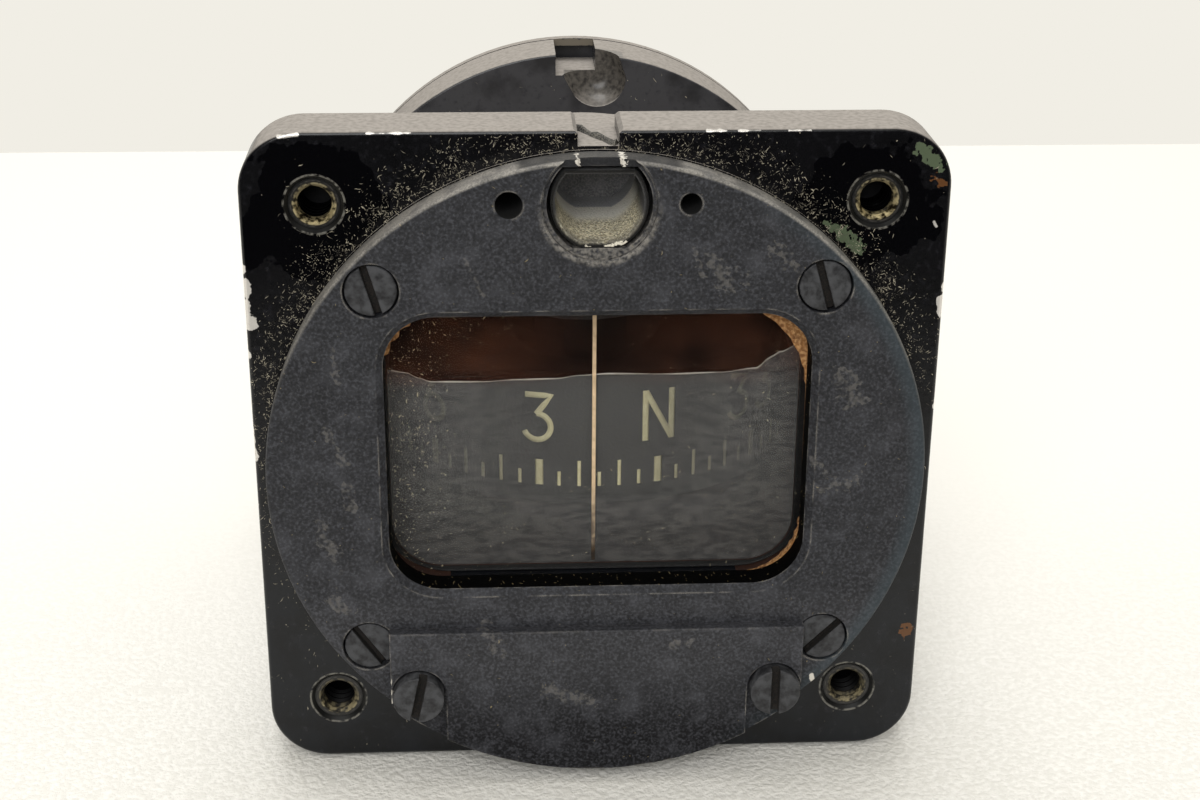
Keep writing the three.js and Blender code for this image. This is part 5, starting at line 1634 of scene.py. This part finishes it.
@dataclass
class SlottedScrew:
    """Cheese-head screw along Y with a sawn slot."""

    head: float
    height: float
    shank: float
    length: float
    slot: float
    slot_depth: float
    lip: float = 0.06
    rounding: float = 0.14

    def shape(self) -> Solid:
        """Turns the screw and saws its slot.

        Returns:
            The screw, its head's face at the origin.
        """
        tip = self.height + self.length
        body = Solid.turned([(0, 0), (self.head, 0), (self.head, self.height), (self.shank, self.height),
                             (self.shank, tip), (0, tip)], 56, self.rounding, segments=4)
        half, reach, lip = self.slot / 2, self.head + OVERRUN, self.lip
        saw = Solid.prism([(-half - lip - OVERRUN, -OVERRUN), (half + lip + OVERRUN, -OVERRUN), (half, lip),
                           (half, self.slot_depth), (-half, self.slot_depth), (-half, lip)], -reach, reach)
        return body.cut([saw.turned_by(-math.pi / 2, "X")])

    def in_slot(self, head: Place, middle: Vector) -> bool:
        """Returns whether a point lies in the slot of the screw with its head's face there."""
        near_axis = math.hypot(middle.x - head[0], middle.z - head[2]) < 0.9 * self.head
        return near_axis and FIT_GAP < abs(middle.y - head[1]) < self.slot_depth + FIT_GAP

    def build(self, kind: str, places: Iterable[Point], front: float, turns: Iterable[float],
              backwards: bool = False) -> None:
        """Makes numbered screws with the faces of their heads at a depth.

        Args:
            kind: First word of the pieces' names and of their CAD nodes.
            places: Where they stand.
            front: Depth of the faces.
            turns: Angle of each slot from upright, in degrees.
            backwards: True if the heads face the back.
        """
        for number, ((x, z), turn) in enumerate(zip(places, turns), 1):
            screw = self.shape().turned_by(math.radians(turn), "Y")
            if backwards:
                screw.turned_by(math.pi, "Z")
            # Faces in the slot take the painted shade finish
            Maker.piece(f"{kind}_screw_head_{number}", screw.moved(x, front, z), Finishes.screw,
                        nodes=[f"{kind}_screw_{number}"], slot="blackened_screw",
                        inner=((Finishes.slot_shade, partial(self.in_slot, (x, front, z))),))


@dataclass
class CoverPlate:
    """Cover of the compensator, with its two raised screws."""

    half: float = 18.5
    top: float = -14.7
    front: float = -4.24
    back: float = -3.05
    radius: float = 28.6
    rim: float = 0.15
    notch: float = 2.45
    notch_floor: float = -3.64
    arch_width: float = 5.0
    arch_height: float = 9.0
    head: float = 2.25
    head_height: float = 1.65
    head_front: float = -5.39
    turns: tuple[float, ...] = (12, 0)

    def plate(self) -> Solid:
        """Shapes the plate: straight above, round below, notched for its screws.

        Returns:
            The solid.
        """
        low = math.asin(self.half / self.radius)
        bottom = arc(0, -PLACES.bezel_drop, self.radius, -math.pi / 2 - low, -math.pi / 2 + low, 64)
        plate = Solid.prism([(self.half, self.top), (-self.half, self.top), *bottom], self.front,
                            self.back, self.rim, 3)
        cutters = []
        for x, z in PLACES.cover_screws():
            outward = math.copysign(1, x)
            ends = (0, math.pi) if outward > 0 else (math.pi, 0)
            arch = [(x + outward * self.arch_width, z - self.arch_height),
                    (x + outward * self.arch_width, z), *arc(x, z, self.notch, *ends, 24),
                    (x - outward * self.notch, z - self.arch_height)]
            cutters.append(Solid.prism(arch, self.front - OVERRUN, self.notch_floor))
            cutters.append(Solid.rod(PLACES.screw_bore, self.front - OVERRUN, self.back + OVERRUN, x, z, 24))
        return plate.cut(cutters)

    def build(self) -> None:
        """Makes the plate and its screws."""
        Maker.piece("compensator_plate", self.plate(), Finishes.charcoal, nodes=["compensator_cover"],
                    slot="bezel_paint")
        screw = SlottedScrew(self.head, self.head_height, shank=1.25, length=9.5, slot=0.75, slot_depth=0.9)
        screw.build("cover", PLACES.cover_screws(), self.head_front, self.turns)


@dataclass
class Glazing:
    """Window glass with its cork gasket, seal, lubber line and the liquid behind it."""

    gasket: float = 0.5
    glass: float = 3.0
    glass_rounding: float = 0.3
    seal: float = 0.6
    lap: float = 1.35
    corner: float = 6.5
    gasket_corners: tuple[float, ...] = (8.6, 7.6, 4.9, 5.6)
    gasket_lip: float = 0.4
    tears: tuple[Place, ...] = ((0.10, 1.9, 0.0), (0.07, 4.3, 1.2))
    line: float = 0.35
    line_thick: float = 0.3
    line_lap: float = 0.8
    level: float = 6.62
    film: float = 0.3
    face: Pair = (0.08, 0.4)
    far: float = 30.0
    columns: int = 96
    bead: float = 0.07
    brim: tuple[Point, ...] = (
        (-18.4, 7.2), (-16.6, 6.9), (-15.6, 6.4), (-14.4, 6.0), (-10.0, 5.95), (-6.8, 6.1), (-3.4, 6.15),
        (-1.3, 6.42), (1.3, 6.55), (6.8, 6.45), (11.2, 6.55), (14.4, 6.9), (15.7, 7.9), (16.4, 8.4),
        (18.4, 9.2),
    )

    def build(self) -> None:
        """Makes the window's pieces, front to back."""
        back = self.gasket + self.glass
        ledge = back + self.seal
        outline = WINDOW.outline(self.lap, self.corner)
        cork = Solid.prism(outline, 0, self.gasket).cut([self.ragged_opening()])
        Maker.piece("cork_gasket", cork, Finishes.cork, nodes=["window_gasket"], slot="cork")
        pane = Maker.piece("window_pane", Solid.prism(outline, self.gasket, back, self.glass_rounding, 3),
                           Finishes.glass, nodes=["window_glass"], slot="window_glass")
        pane.visible_shadow = False
        ring = Solid.prism(outline, back, ledge).cut(
            [Solid.prism(WINDOW.behind(), back - OVERRUN, ledge + OVERRUN)])
        Maker.piece("pane_seal", ring, Finishes.rubber, nodes=["glass_seal"], slot="black_rubber")
        half = self.line / 2
        bar = Solid.box((-half, ledge, WINDOW.bottom - self.line_lap),
                        (half, ledge + self.line_thick, WINDOW.top + self.line_lap), 0.06)
        Maker.piece("lubber_bar", bar, Finishes.lubber, nodes=["lubber_line"], slot="marking_paint")
        self.liquid(ledge)

    def ragged_opening(self) -> Solid:
        """Shapes the gasket's opening, with its torn corners.

        Returns:
            Its cutter.
        """
        lip = self.gasket_lip
        torn = []
        for i, (x, z) in enumerate(rounded(-WINDOW.half - lip, WINDOW.half, WINDOW.bottom - lip,
                                           WINDOW.top + lip, self.gasket_corners, 26)):
            wave = sum(high * math.sin(turn * i + lag) for high, turn, lag in self.tears)
            torn.append((x * (1 + wave / 20), z * (1 + wave / 14)))
        return Solid.prism(torn, -OVERRUN, self.gasket + OVERRUN)

    def brim_height(self, x: float) -> float:
        """Eases between the points of the brim.

        Args:
            x: Place across.

        Returns:
            Height at which the liquid touches the glass there.
        """
        for (x0, z0), (x1, z1) in zip(self.brim, self.brim[1:]):
            if x <= x1:
                share = (1 - math.cos(math.pi * (x - x0) / (x1 - x0))) / 2
                return z0 + (z1 - z0) * share
        return self.brim[-1][1]

    def liquid(self, ledge: float) -> None:
        """Makes what shows of the liquid: its face behind the glass, its level, and its brim as a painted
        highlight.

        Args:
            ledge: Depth of the ledge that the seal presses on.
        """
        front, back = (ledge + part for part in self.face)
        low, floor = WINDOW.bottom - WINDOW.deeper - OVERRUN, self.level - self.film
        half = WINDOW.half + NEAR
        sections, bead = [], []
        for i in range(self.columns + 1):
            x = half * (2 * i / self.columns - 1)
            edge = self.brim_height(x)
            loop = ((front, low), (back, low), (back, floor), (self.far, floor), (self.far, self.level),
                    (back + 0.6, self.level), (back, (edge + self.level) / 2), (front, edge))
            sections.append([(x, y, z) for y, z in loop])
            thick = self.bead * (0.75 + 0.4 * math.sin(0.9 * x))
            bead.append([(x, y, z) for y, z in arc(front, edge, thick, 0, 5 * math.pi / 3, 5)])
        room = Solid.prism(WINDOW.behind(NEAR), ledge - OVERRUN, self.far + OVERRUN)
        body = Solid.skinned(sections).worked([room], Operation.KEEP)
        face = Maker.piece("damping_liquid", body, Finishes.liquid, slot="window_glass")
        face.visible_shadow = False
        # The bead is pale grey: a painted highlight of the meniscus
        Maker.piece("meniscus_highlight_bead", Solid.skinned(bead[1:-1]), Finishes.brim, slot="window_glass")


@dataclass
class LampWell:
    """Sleeve of the missing dial lamp, and the torn lacquer where its lead ran out."""

    start: float = -2.35
    wall: float = 0.35
    gap: float = 0.35
    flare: float = 0.2
    floor: float = 28.4
    spine: tuple[Place, ...] = (
        (-1.75, 6.0, 0.5), (-1.1, 5.4, 0.75), (-0.5, 4.0, 0.55), (0.1, 3.2, 0.8), (0.6, 2.2, 0.6),
        (1.2, 1.2, 0.85), (1.55, 0.6, 0.6))

    def build(self) -> None:
        """Makes the sleeve and the torn lacquer."""
        tube = Solid.prism(LAMP.outline(self.gap, FIT_GAP), self.start, LAMP.depth - FIT_GAP)
        inner = LAMP.outline(self.gap + self.wall, FIT_GAP + self.wall)
        bore = Solid.prism(inner, self.start - OVERRUN, LAMP.depth + OVERRUN)
        mouth = Solid.loft([(LAMP.outline(self.gap - self.flare, FIT_GAP - self.flare), self.start - 0.25),
                            (inner, self.start + self.wall - 0.05)])
        Maker.piece("lamp_tube", tube.cut([bore, mouth]), Finishes.fibre, nodes=["lamp_sleeve"],
                    slot="lamp_sleeve")
        self.torn_lacquer()

    def torn_lacquer(self) -> None:
        """Makes the jagged ridge of sealing lacquer that crosses the lead's slot."""
        sections = []
        for i, (x, y, wide) in enumerate(self.spine):
            rise = 0.34 + 0.16 * math.sin(2.3 * i)
            shape = ((-wide, 0), (-0.5 * wide, 0.8 * rise), (-0.1 * wide, rise), (0.35 * wide, 0.55 * rise),
                     (wide, 0))
            sections.append([(x + 0.35 * t, y + 0.8 * t, self.floor + h) for t, h in shape])
        Maker.piece("torn_lacquer", Solid.skinned(sections), Finishes.sealant, slot="black_rubber",
                    smooth=False)


@dataclass
class Inserts:
    """Threaded brass inserts in the corners of the flange."""

    bore: float = 1.45
    outer: float = 2.17
    front: float = 0.45
    back: float = 5.47
    lead: float = 0.3
    chamfer: float = 0.25
    crest: float = 0.1
    pitch: float = 0.79
    thread: float = 0.32

    def build(self) -> None:
        """Makes the four inserts, each with a ringed bore like a thread."""
        turns = int((self.back - self.front - 2 * self.lead) / self.pitch)
        grooves = []
        for i in range(turns):
            y = self.front + self.lead + i * self.pitch
            grooves += [(self.bore, y), (self.bore, y + self.crest),
                        (self.bore + self.thread, y + self.pitch / 2)]
        profile = [(self.bore + self.chamfer, self.front), *grooves, (self.bore, self.back),
                   (self.outer, self.back), (self.outer, self.front)]
        for i, (x, z) in enumerate(PLACES.mounts()):
            Maker.piece(f"threaded_insert_{i + 1}", Solid.turned(profile, 40).moved(x, 0, z),
                        Finishes.insert, nodes=[f"mount_insert_{i + 1}"], slot="brass")


# Straight strokes of each figure in shares of its width and height, from its lower left corner
GLYPHS: dict[str, list[list[Point]]] = {
    "N": [[(0.08, 0.0), (0.08, 1.0)], [(0.08, 0.98), (0.92, 0.02)], [(0.92, 0.0), (0.92, 1.0)]],
    "E": [[(0.9, 0.94), (0.1, 0.94), (0.1, 0.06), (0.9, 0.06)], [(0.1, 0.52), (0.75, 0.52)]],
    "W": [[(0.0, 1.0), (0.25, 0.04), (0.5, 0.8), (0.75, 0.04), (1.0, 1.0)]],
    "1": [[(0.3, 0.8), (0.55, 0.97), (0.55, 0.0)]],
    "4": [[(0.72, 0.0), (0.72, 0.96), (0.05, 0.28), (0.98, 0.28)]],
    "3": [[(0.08, 0.94), (0.88, 0.94), (0.42, 0.56)]],
    "2": [[(0.82, 0.55), (0.1, 0.06), (0.95, 0.06)]],
    "5": [[(0.85, 0.94), (0.2, 0.94), (0.14, 0.53)]],
    "6": [[(0.72, 0.97), (0.3, 0.62), (0.12, 0.36)]],
}

# Round strokes: centre, half width, half height, first and last angle in degrees
ROUND_STROKES: dict[str, list[tuple[float, float, float, float, float, float]]] = {
    "3": [(0.44, 0.31, 0.42, 0.26, 92, -158)],
    "2": [(0.48, 0.71, 0.38, 0.24, 165, -42)],
    "5": [(0.46, 0.31, 0.42, 0.25, 115, -155)],
    "6": [(0.5, 0.3, 0.4, 0.25, 0, 360)],
    "0": [(0.5, 0.5, 0.4, 0.45, 0, 360)],
    "S": [(0.5, 0.73, 0.36, 0.22, 35, 270), (0.5, 0.28, 0.38, 0.23, 90, -150)],
}
WORDS = {0: "N", 90: "E", 180: "S", 270: "W"}


@dataclass
class Card:
    """Compass card: ring, figures, web and float."""

    radius: float = 21.0
    half: float = 6.5
    wall: float = 0.5
    lip: float = 1.6
    lip_thick: float = 0.4
    rounding: float = 0.12
    north: float = 16.5
    figure_low: float = -0.5
    figure_high: float = 4.4
    figure_width: float = 3.0
    figure_gap: float = 0.9
    stroke: float = 0.62
    tick_low: float = -4.7
    tick_high: float = -2.2
    bold_tick: float = 0.76
    thin_tick: float = 0.34
    short_share: float = 0.56
    paint: float = 0.03
    dense_step: float = 0.6

    def ring(self) -> Solid:
        """Shapes the ring with its upper lip.

        Returns:
            The solid.
        """
        inner, lip, under = self.radius - self.wall, self.radius - self.lip, self.half - self.lip_thick
        profile = [(inner, -self.half), (self.radius, -self.half), (self.radius, self.half),
                   (lip, self.half), (lip, under), (inner, under)]
        band = Solid.turned(profile, 160, self.rounding, upright=True, segments=2)
        return band.moved(0, PLACES.bowl_centre, 0)

    def strokes(self) -> list[Stroke]:
        """Draws the ticks and figures.

        Returns:
            Each stroke as points of arc length and height, with its width.
        """
        made = []
        for heading in range(0, 360, 5):
            share = 1 if heading % 10 == 0 else self.short_share
            u = self.along(heading)
            line = [(u, self.tick_low), (u, self.tick_low + (self.tick_high - self.tick_low) * share)]
            made.append((line, self.thin_tick if heading % 30 else self.bold_tick))
        for heading in range(0, 360, 30):
            made += self.figure(WORDS.get(heading, str(heading // 10)), self.along(heading))
        return made

    def along(self, heading: float) -> float:
        """Returns the arc length at which a heading in degrees stands."""
        return (self.north - heading) * (math.radians(1) * self.radius)

    def figure(self, text: str, middle: float) -> list[Stroke]:
        """Strokes of one figure.

        Args:
            text: Its letters or digits.
            middle: Arc length of its middle.

        Returns:
            Points and width of each stroke.
        """
        made = []
        tall = self.figure_high - self.figure_low
        step = self.figure_width + self.figure_gap
        left = middle - (len(text) - 1) * step / 2 - self.figure_width / 2
        for i, letter in enumerate(text):
            base = left + i * step
            lines = list(GLYPHS.get(letter, []))
            for x, z, wide, high, start, end in ROUND_STROKES.get(letter, []):
                turns = [math.radians(start + (end - start) * k / 18) for k in range(19)]
                lines.append([(x + wide * math.cos(a), z + high * math.sin(a)) for a in turns])
            for line in lines:
                made.append(([(base + x * self.figure_width, self.figure_low + z * tall)
                              for x, z in line], self.stroke))
        return made

    def add_stroke(self, solid: Solid, points: list[Point], width: float) -> None:
        """Adds one stroke to a solid, still flat.

        Args:
            solid: The solid.
            points: Arc length and height of the stroke's points.
            width: Its width.
        """
        curve = bpy.data.curves.new("stroke", "CURVE")
        curve.dimensions = "3D"
        curve.bevel_depth = width / 2
        curve.bevel_resolution = 1
        curve.use_fill_caps = True
        spline = curve.splines.new("POLY")
        dense = self.dense(points)
        spline.points.add(len(dense) - 1)
        for slot, (u, w) in zip(spline.points, dense):
            slot.co = (u, 0, w, 1)
        held = bpy.data.objects.new("stroke", curve)
        mesh = bpy.data.meshes.new_from_object(held)
        solid.bm.from_mesh(mesh)
        bpy.data.objects.remove(held)
        bpy.data.curves.remove(curve)
        bpy.data.meshes.remove(mesh)

    def markings(self) -> Solid:
        """Paints the figures and ticks as thin raised strokes round the ring.

        Returns:
            All the strokes.
        """
        solid = Solid()
        for points, width in self.strokes():
            self.add_stroke(solid, points, width)
        for v in solid.bm.verts:
            out = self.radius + self.paint * (1 if v.co.y < 0 else -1) * min(1, abs(v.co.y) / 0.1)
            turn = v.co.x / self.radius
            v.co = (out * math.sin(turn), PLACES.bowl_centre - out * math.cos(turn), v.co.z)
        return solid

    def dense(self, points: list[Point]) -> list[Point]:
        """Puts more points on a line, so that it bends round the ring.

        Args:
            points: The line.

        Returns:
            The line with its further points.
        """
        made = [points[0]]
        for (u0, w0), (u1, w1) in zip(points, points[1:]):
            steps = max(1, round(abs(u1 - u0) / self.dense_step))
            made += [(u0 + (u1 - u0) * k / steps, w0 + (w1 - w0) * k / steps) for k in range(1, steps + 1)]
        return made

    def build(self) -> None:
        """Makes the ring and its markings, and dresses the pieces inside it."""
        Maker.piece("card_band", self.ring(), Finishes.card, Body.CARD, ["card_ring"], "card_black")
        Maker.piece("card_markings", self.markings(), Finishes.figures, Body.CARD, slot="marking_paint",
                    smooth=False)
        Maker.dress(Finishes.card, "card_web", "float_bell")
        Maker.dress(Finishes.magnet, "card_magnet_left", "card_magnet_right")
        Maker.dress(Finishes.steel, "pivot_pin")


@dataclass
class Rear:
    """Rear cover with its screws, and the filler plug on the side of the bowl."""

    radius: float = 26.8
    front: float = 49.5
    back: float = 51.0
    rim: float = 0.3
    slot: Place = (4.2, 24.5, 1.5)
    slot_depth: float = 1.0
    vent: float = 1.0
    clamp: float = 49.2
    dish: float = 18.4
    dish_depth: float = 0.6
    spigot: float = 22.6
    head: float = 1.7
    head_height: float = 1.2
    screw_turn: float = 25.0
    plug_seat: float = 25.9
    plug_head: Pair = (3.6, 1.6)
    plug_shank: Pair = (2.5, 20.3)
    plug_slot: Pair = (0.8, 0.8)
    washer: Pair = (2.6, 0.5)

    def cover(self) -> Solid:
        """Shapes the rear cover.

        Returns:
            The solid.
        """
        floor = self.front + self.dish_depth
        plate = Solid.turned([
            (0, floor), (self.dish, floor), (self.dish, self.clamp), (self.spigot, self.clamp),
            (self.spigot, self.front), (self.radius, self.front), (self.radius, self.back), (0, self.back),
        ], 128)
        wide, low, high = self.slot
        start, outer, inner = self.front - OVERRUN, self.radius + OVERRUN, self.radius - self.rim
        rim = Solid.turned([(inner, self.back + OVERRUN), (outer, self.back + OVERRUN),
                            (outer, self.back - self.rim), (self.radius, self.back - self.rim),
                            (inner, self.back)], 128)
        return plate.cut([
            rim,
            Solid.box((-wide / 2, start, low), (wide / 2, self.front + self.slot_depth, low + high)),
            Solid.rod(self.vent, start, self.back + OVERRUN, sides=32),
            *Solid.rods(PLACES.rear(), PLACES.rear_bore, start, self.back + OVERRUN),
        ])

    def plug(self) -> tuple[Solid, Solid]:
        """Shapes the filler plug and its washer, along X.

        Returns:
            Both solids.
        """
        seat, (head, height), (shank, tip) = self.plug_seat, self.plug_head, self.plug_shank
        wide, deep = self.plug_slot
        body = Solid.turned([(0, tip), (shank, tip), (shank, seat), (head, seat), (head, seat + height),
                             (0, seat + height)], 56, 0.15)
        face, reach = seat + height, head + OVERRUN
        saw = Solid.box((-wide / 2, face - deep, -reach), (wide / 2, face + OVERRUN, reach))
        bore, thick = self.washer
        under = seat - thick
        ring = Solid.turned([(bore, under), (head, under), (head, seat), (bore, seat)], 56, 0.1)
        return body.cut([saw]).at_filler(), ring.at_filler()

    def build(self) -> None:
        """Makes the rear pieces and dresses those they hide."""
        Maker.piece("rear_plate", self.cover(), Finishes.enamel, nodes=["rear_cover"], slot="case_enamel")
        screw = SlottedScrew(self.head, self.head_height, shank=0.9, length=5.2, slot=0.5, slot_depth=0.55)
        turns = (self.screw_turn * i for i in range(PLACES.rear_screws))
        screw.build("rear", PLACES.rear(), self.back + self.head_height, turns, True)
        plug, washer = self.plug()
        Maker.piece("filler_screw", plug, Finishes.brass, nodes=["filler_plug"], slot="brass")
        Maker.piece("filler_washer", washer, Finishes.rubber, nodes=["plug_washer"], slot="black_rubber")
        Maker.dress(Finishes.rubber, "diaphragm_gasket")
        Maker.dress(Finishes.bronze, "diaphragm")


class Works:
    """The inner pieces that keep their CAD shapes."""

    def build(self) -> None:
        """Dresses the pivot and the compensator."""
        Maker.dress(Finishes.aluminium, "post_base", "compensator_frame")
        Maker.dress(Finishes.brass, "jewel_post")
        Maker.dress(Finishes.steel, "jewel_spring")
        Maker.dress(Finishes.ruby, "jewel_cup")
        kinds = {"magnet": Finishes.magnet, "shaft": Finishes.steel}
        for name in sorted(frame["nodes"]):
            if name.startswith(("east_west", "north_south")):
                Maker.dress(kinds.get(name.rsplit("_", 1)[-1], Finishes.brass), name)


@dataclass
class Stage:
    """Pale granular floor that the compass stands on, a soft sky and plain lamps."""

    tilt: float = math.radians(3.86)
    foot: float = -29.8
    heel: float = 6.5
    front: float = -105.0
    back: float = 172.0
    half: float = 420.0
    sky: str = "#F1EEE5"
    aim: Place = (0, 0, 0.03)
    softboxes: tuple[tuple[str, Place, float, float], ...] = (
        ("ceiling_light", (-0.02, 0.1, 0.5), 0.35, 1.5),
        ("window_light", (-0.08, -0.48, 0.31), 0.35, 1.6),
    )

    def floor(self) -> None:
        """Makes the floor, leaning as the compass stands on it."""
        solid = Solid()
        bmesh.ops.create_grid(solid.bm, x_segments=2, y_segments=2, size=1)
        for v in solid.bm.verts:
            y = self.front if v.co.y < -0.5 else self.back if v.co.y > 0.5 else 0.0
            v.co = (v.co.x * self.half, y, self.foot + (y - self.heel) * math.tan(self.tilt))
        bmesh.ops.transform(solid.bm, matrix=TO_FRAME, verts=solid.bm.verts[:])
        slab = in_scene("floor", solid.to_mesh("floor"))
        slab.data.materials.append(Finishes.foam.material())

    def world(self) -> None:
        """Lights the scene softly from above and shows a pale wall behind."""
        world = bpy.data.worlds.new("studio")
        bpy.context.scene.world = world
        world.use_nodes = True
        nodes = Nodes(world.node_tree)
        _, away, rise = nodes.split(nodes.add("TexCoord", out="Generated"))
        lamp = nodes.level(rise, 0.45, 0.95, -0.2, 0.9)
        room = nodes.math("MAXIMUM", nodes.ramp(away, -0.25, 0.15), nodes.ramp(rise, 0.35, 0.8))
        mirrored = nodes.level(room, 0.04, 0.9)
        rays = nodes.add("LightPath", out="Is Camera Ray")
        glossy = rays.node.outputs["Is Glossy Ray"]
        strength = nodes.add("Mix", {0: glossy, 2: lamp, 3: mirrored})
        strength = nodes.add("Mix", {0: rays, 2: strength, 3: 1.0})
        light = nodes.add("Background", {"Color": linear(self.sky), "Strength": strength})
        nodes.add("OutputWorld", {"Surface": light})

    def lamps(self) -> None:
        """Adds a broad lamp above the dial and one before it."""
        for name, place, size, energy in self.softboxes:
            data = bpy.data.lights.new(name, "AREA")
            data.shape = "DISK"
            data.size = size
            data.energy = energy
            lamp = in_scene(name, data)
            lamp.location = place
            lamp.rotation_euler = (Vector(self.aim) - lamp.location).to_track_quat("-Z", "Y").to_euler()

    def build(self) -> None:
        """Makes the floor, the sky and the lamps."""
        self.floor()
        self.world()
        self.lamps()
        bpy.context.scene.view_settings.view_transform = "Standard"


@dataclass
class PhotoCamera:
    """Camera that stands where the photograph was taken, for an image of 1200 by 800 pixels."""

    place: Place = (-8.862, -156.406, 70.848)
    pitch: float = -0.3937
    yaw: float = -0.0584
    roll: float = -0.008
    focal_pixels: float = 1953.0
    width_pixels: float = 1200.0
    sensor: float = 36.0
    clip: Pair = (0.01, 10.0)

    def build(self) -> None:
        """Makes the camera and hands it to the scene."""
        turn = (Matrix.Rotation(self.yaw, 3, "Z") @ Matrix.Rotation(self.pitch, 3, "X")
                @ Matrix.Rotation(self.roll, 3, "Y"))
        right, ahead, up = turn.col
        data = bpy.data.cameras.new("photo_camera")
        data.sensor_width = self.sensor
        data.lens = self.sensor * self.focal_pixels / self.width_pixels
        data.clip_start, data.clip_end = self.clip
        camera = in_scene("photo_camera", data)
        axes = Matrix((right, up, -ahead)).transposed()
        camera.matrix_world = Matrix.Translation(TO_FRAME @ Vector(self.place)) @ axes.to_4x4()
        bpy.context.scene.camera = camera


def main() -> None:
    """Builds the camera, the compass and the stage, in order."""
    PhotoCamera().build()
    for part in (Casting(), Bezel(), CoverPlate(), Glazing(), LampWell(), Inserts(), Card(), Rear(),
                 Works(), Stage()):
        part.build()


if __name__ == "__main__":
    main()
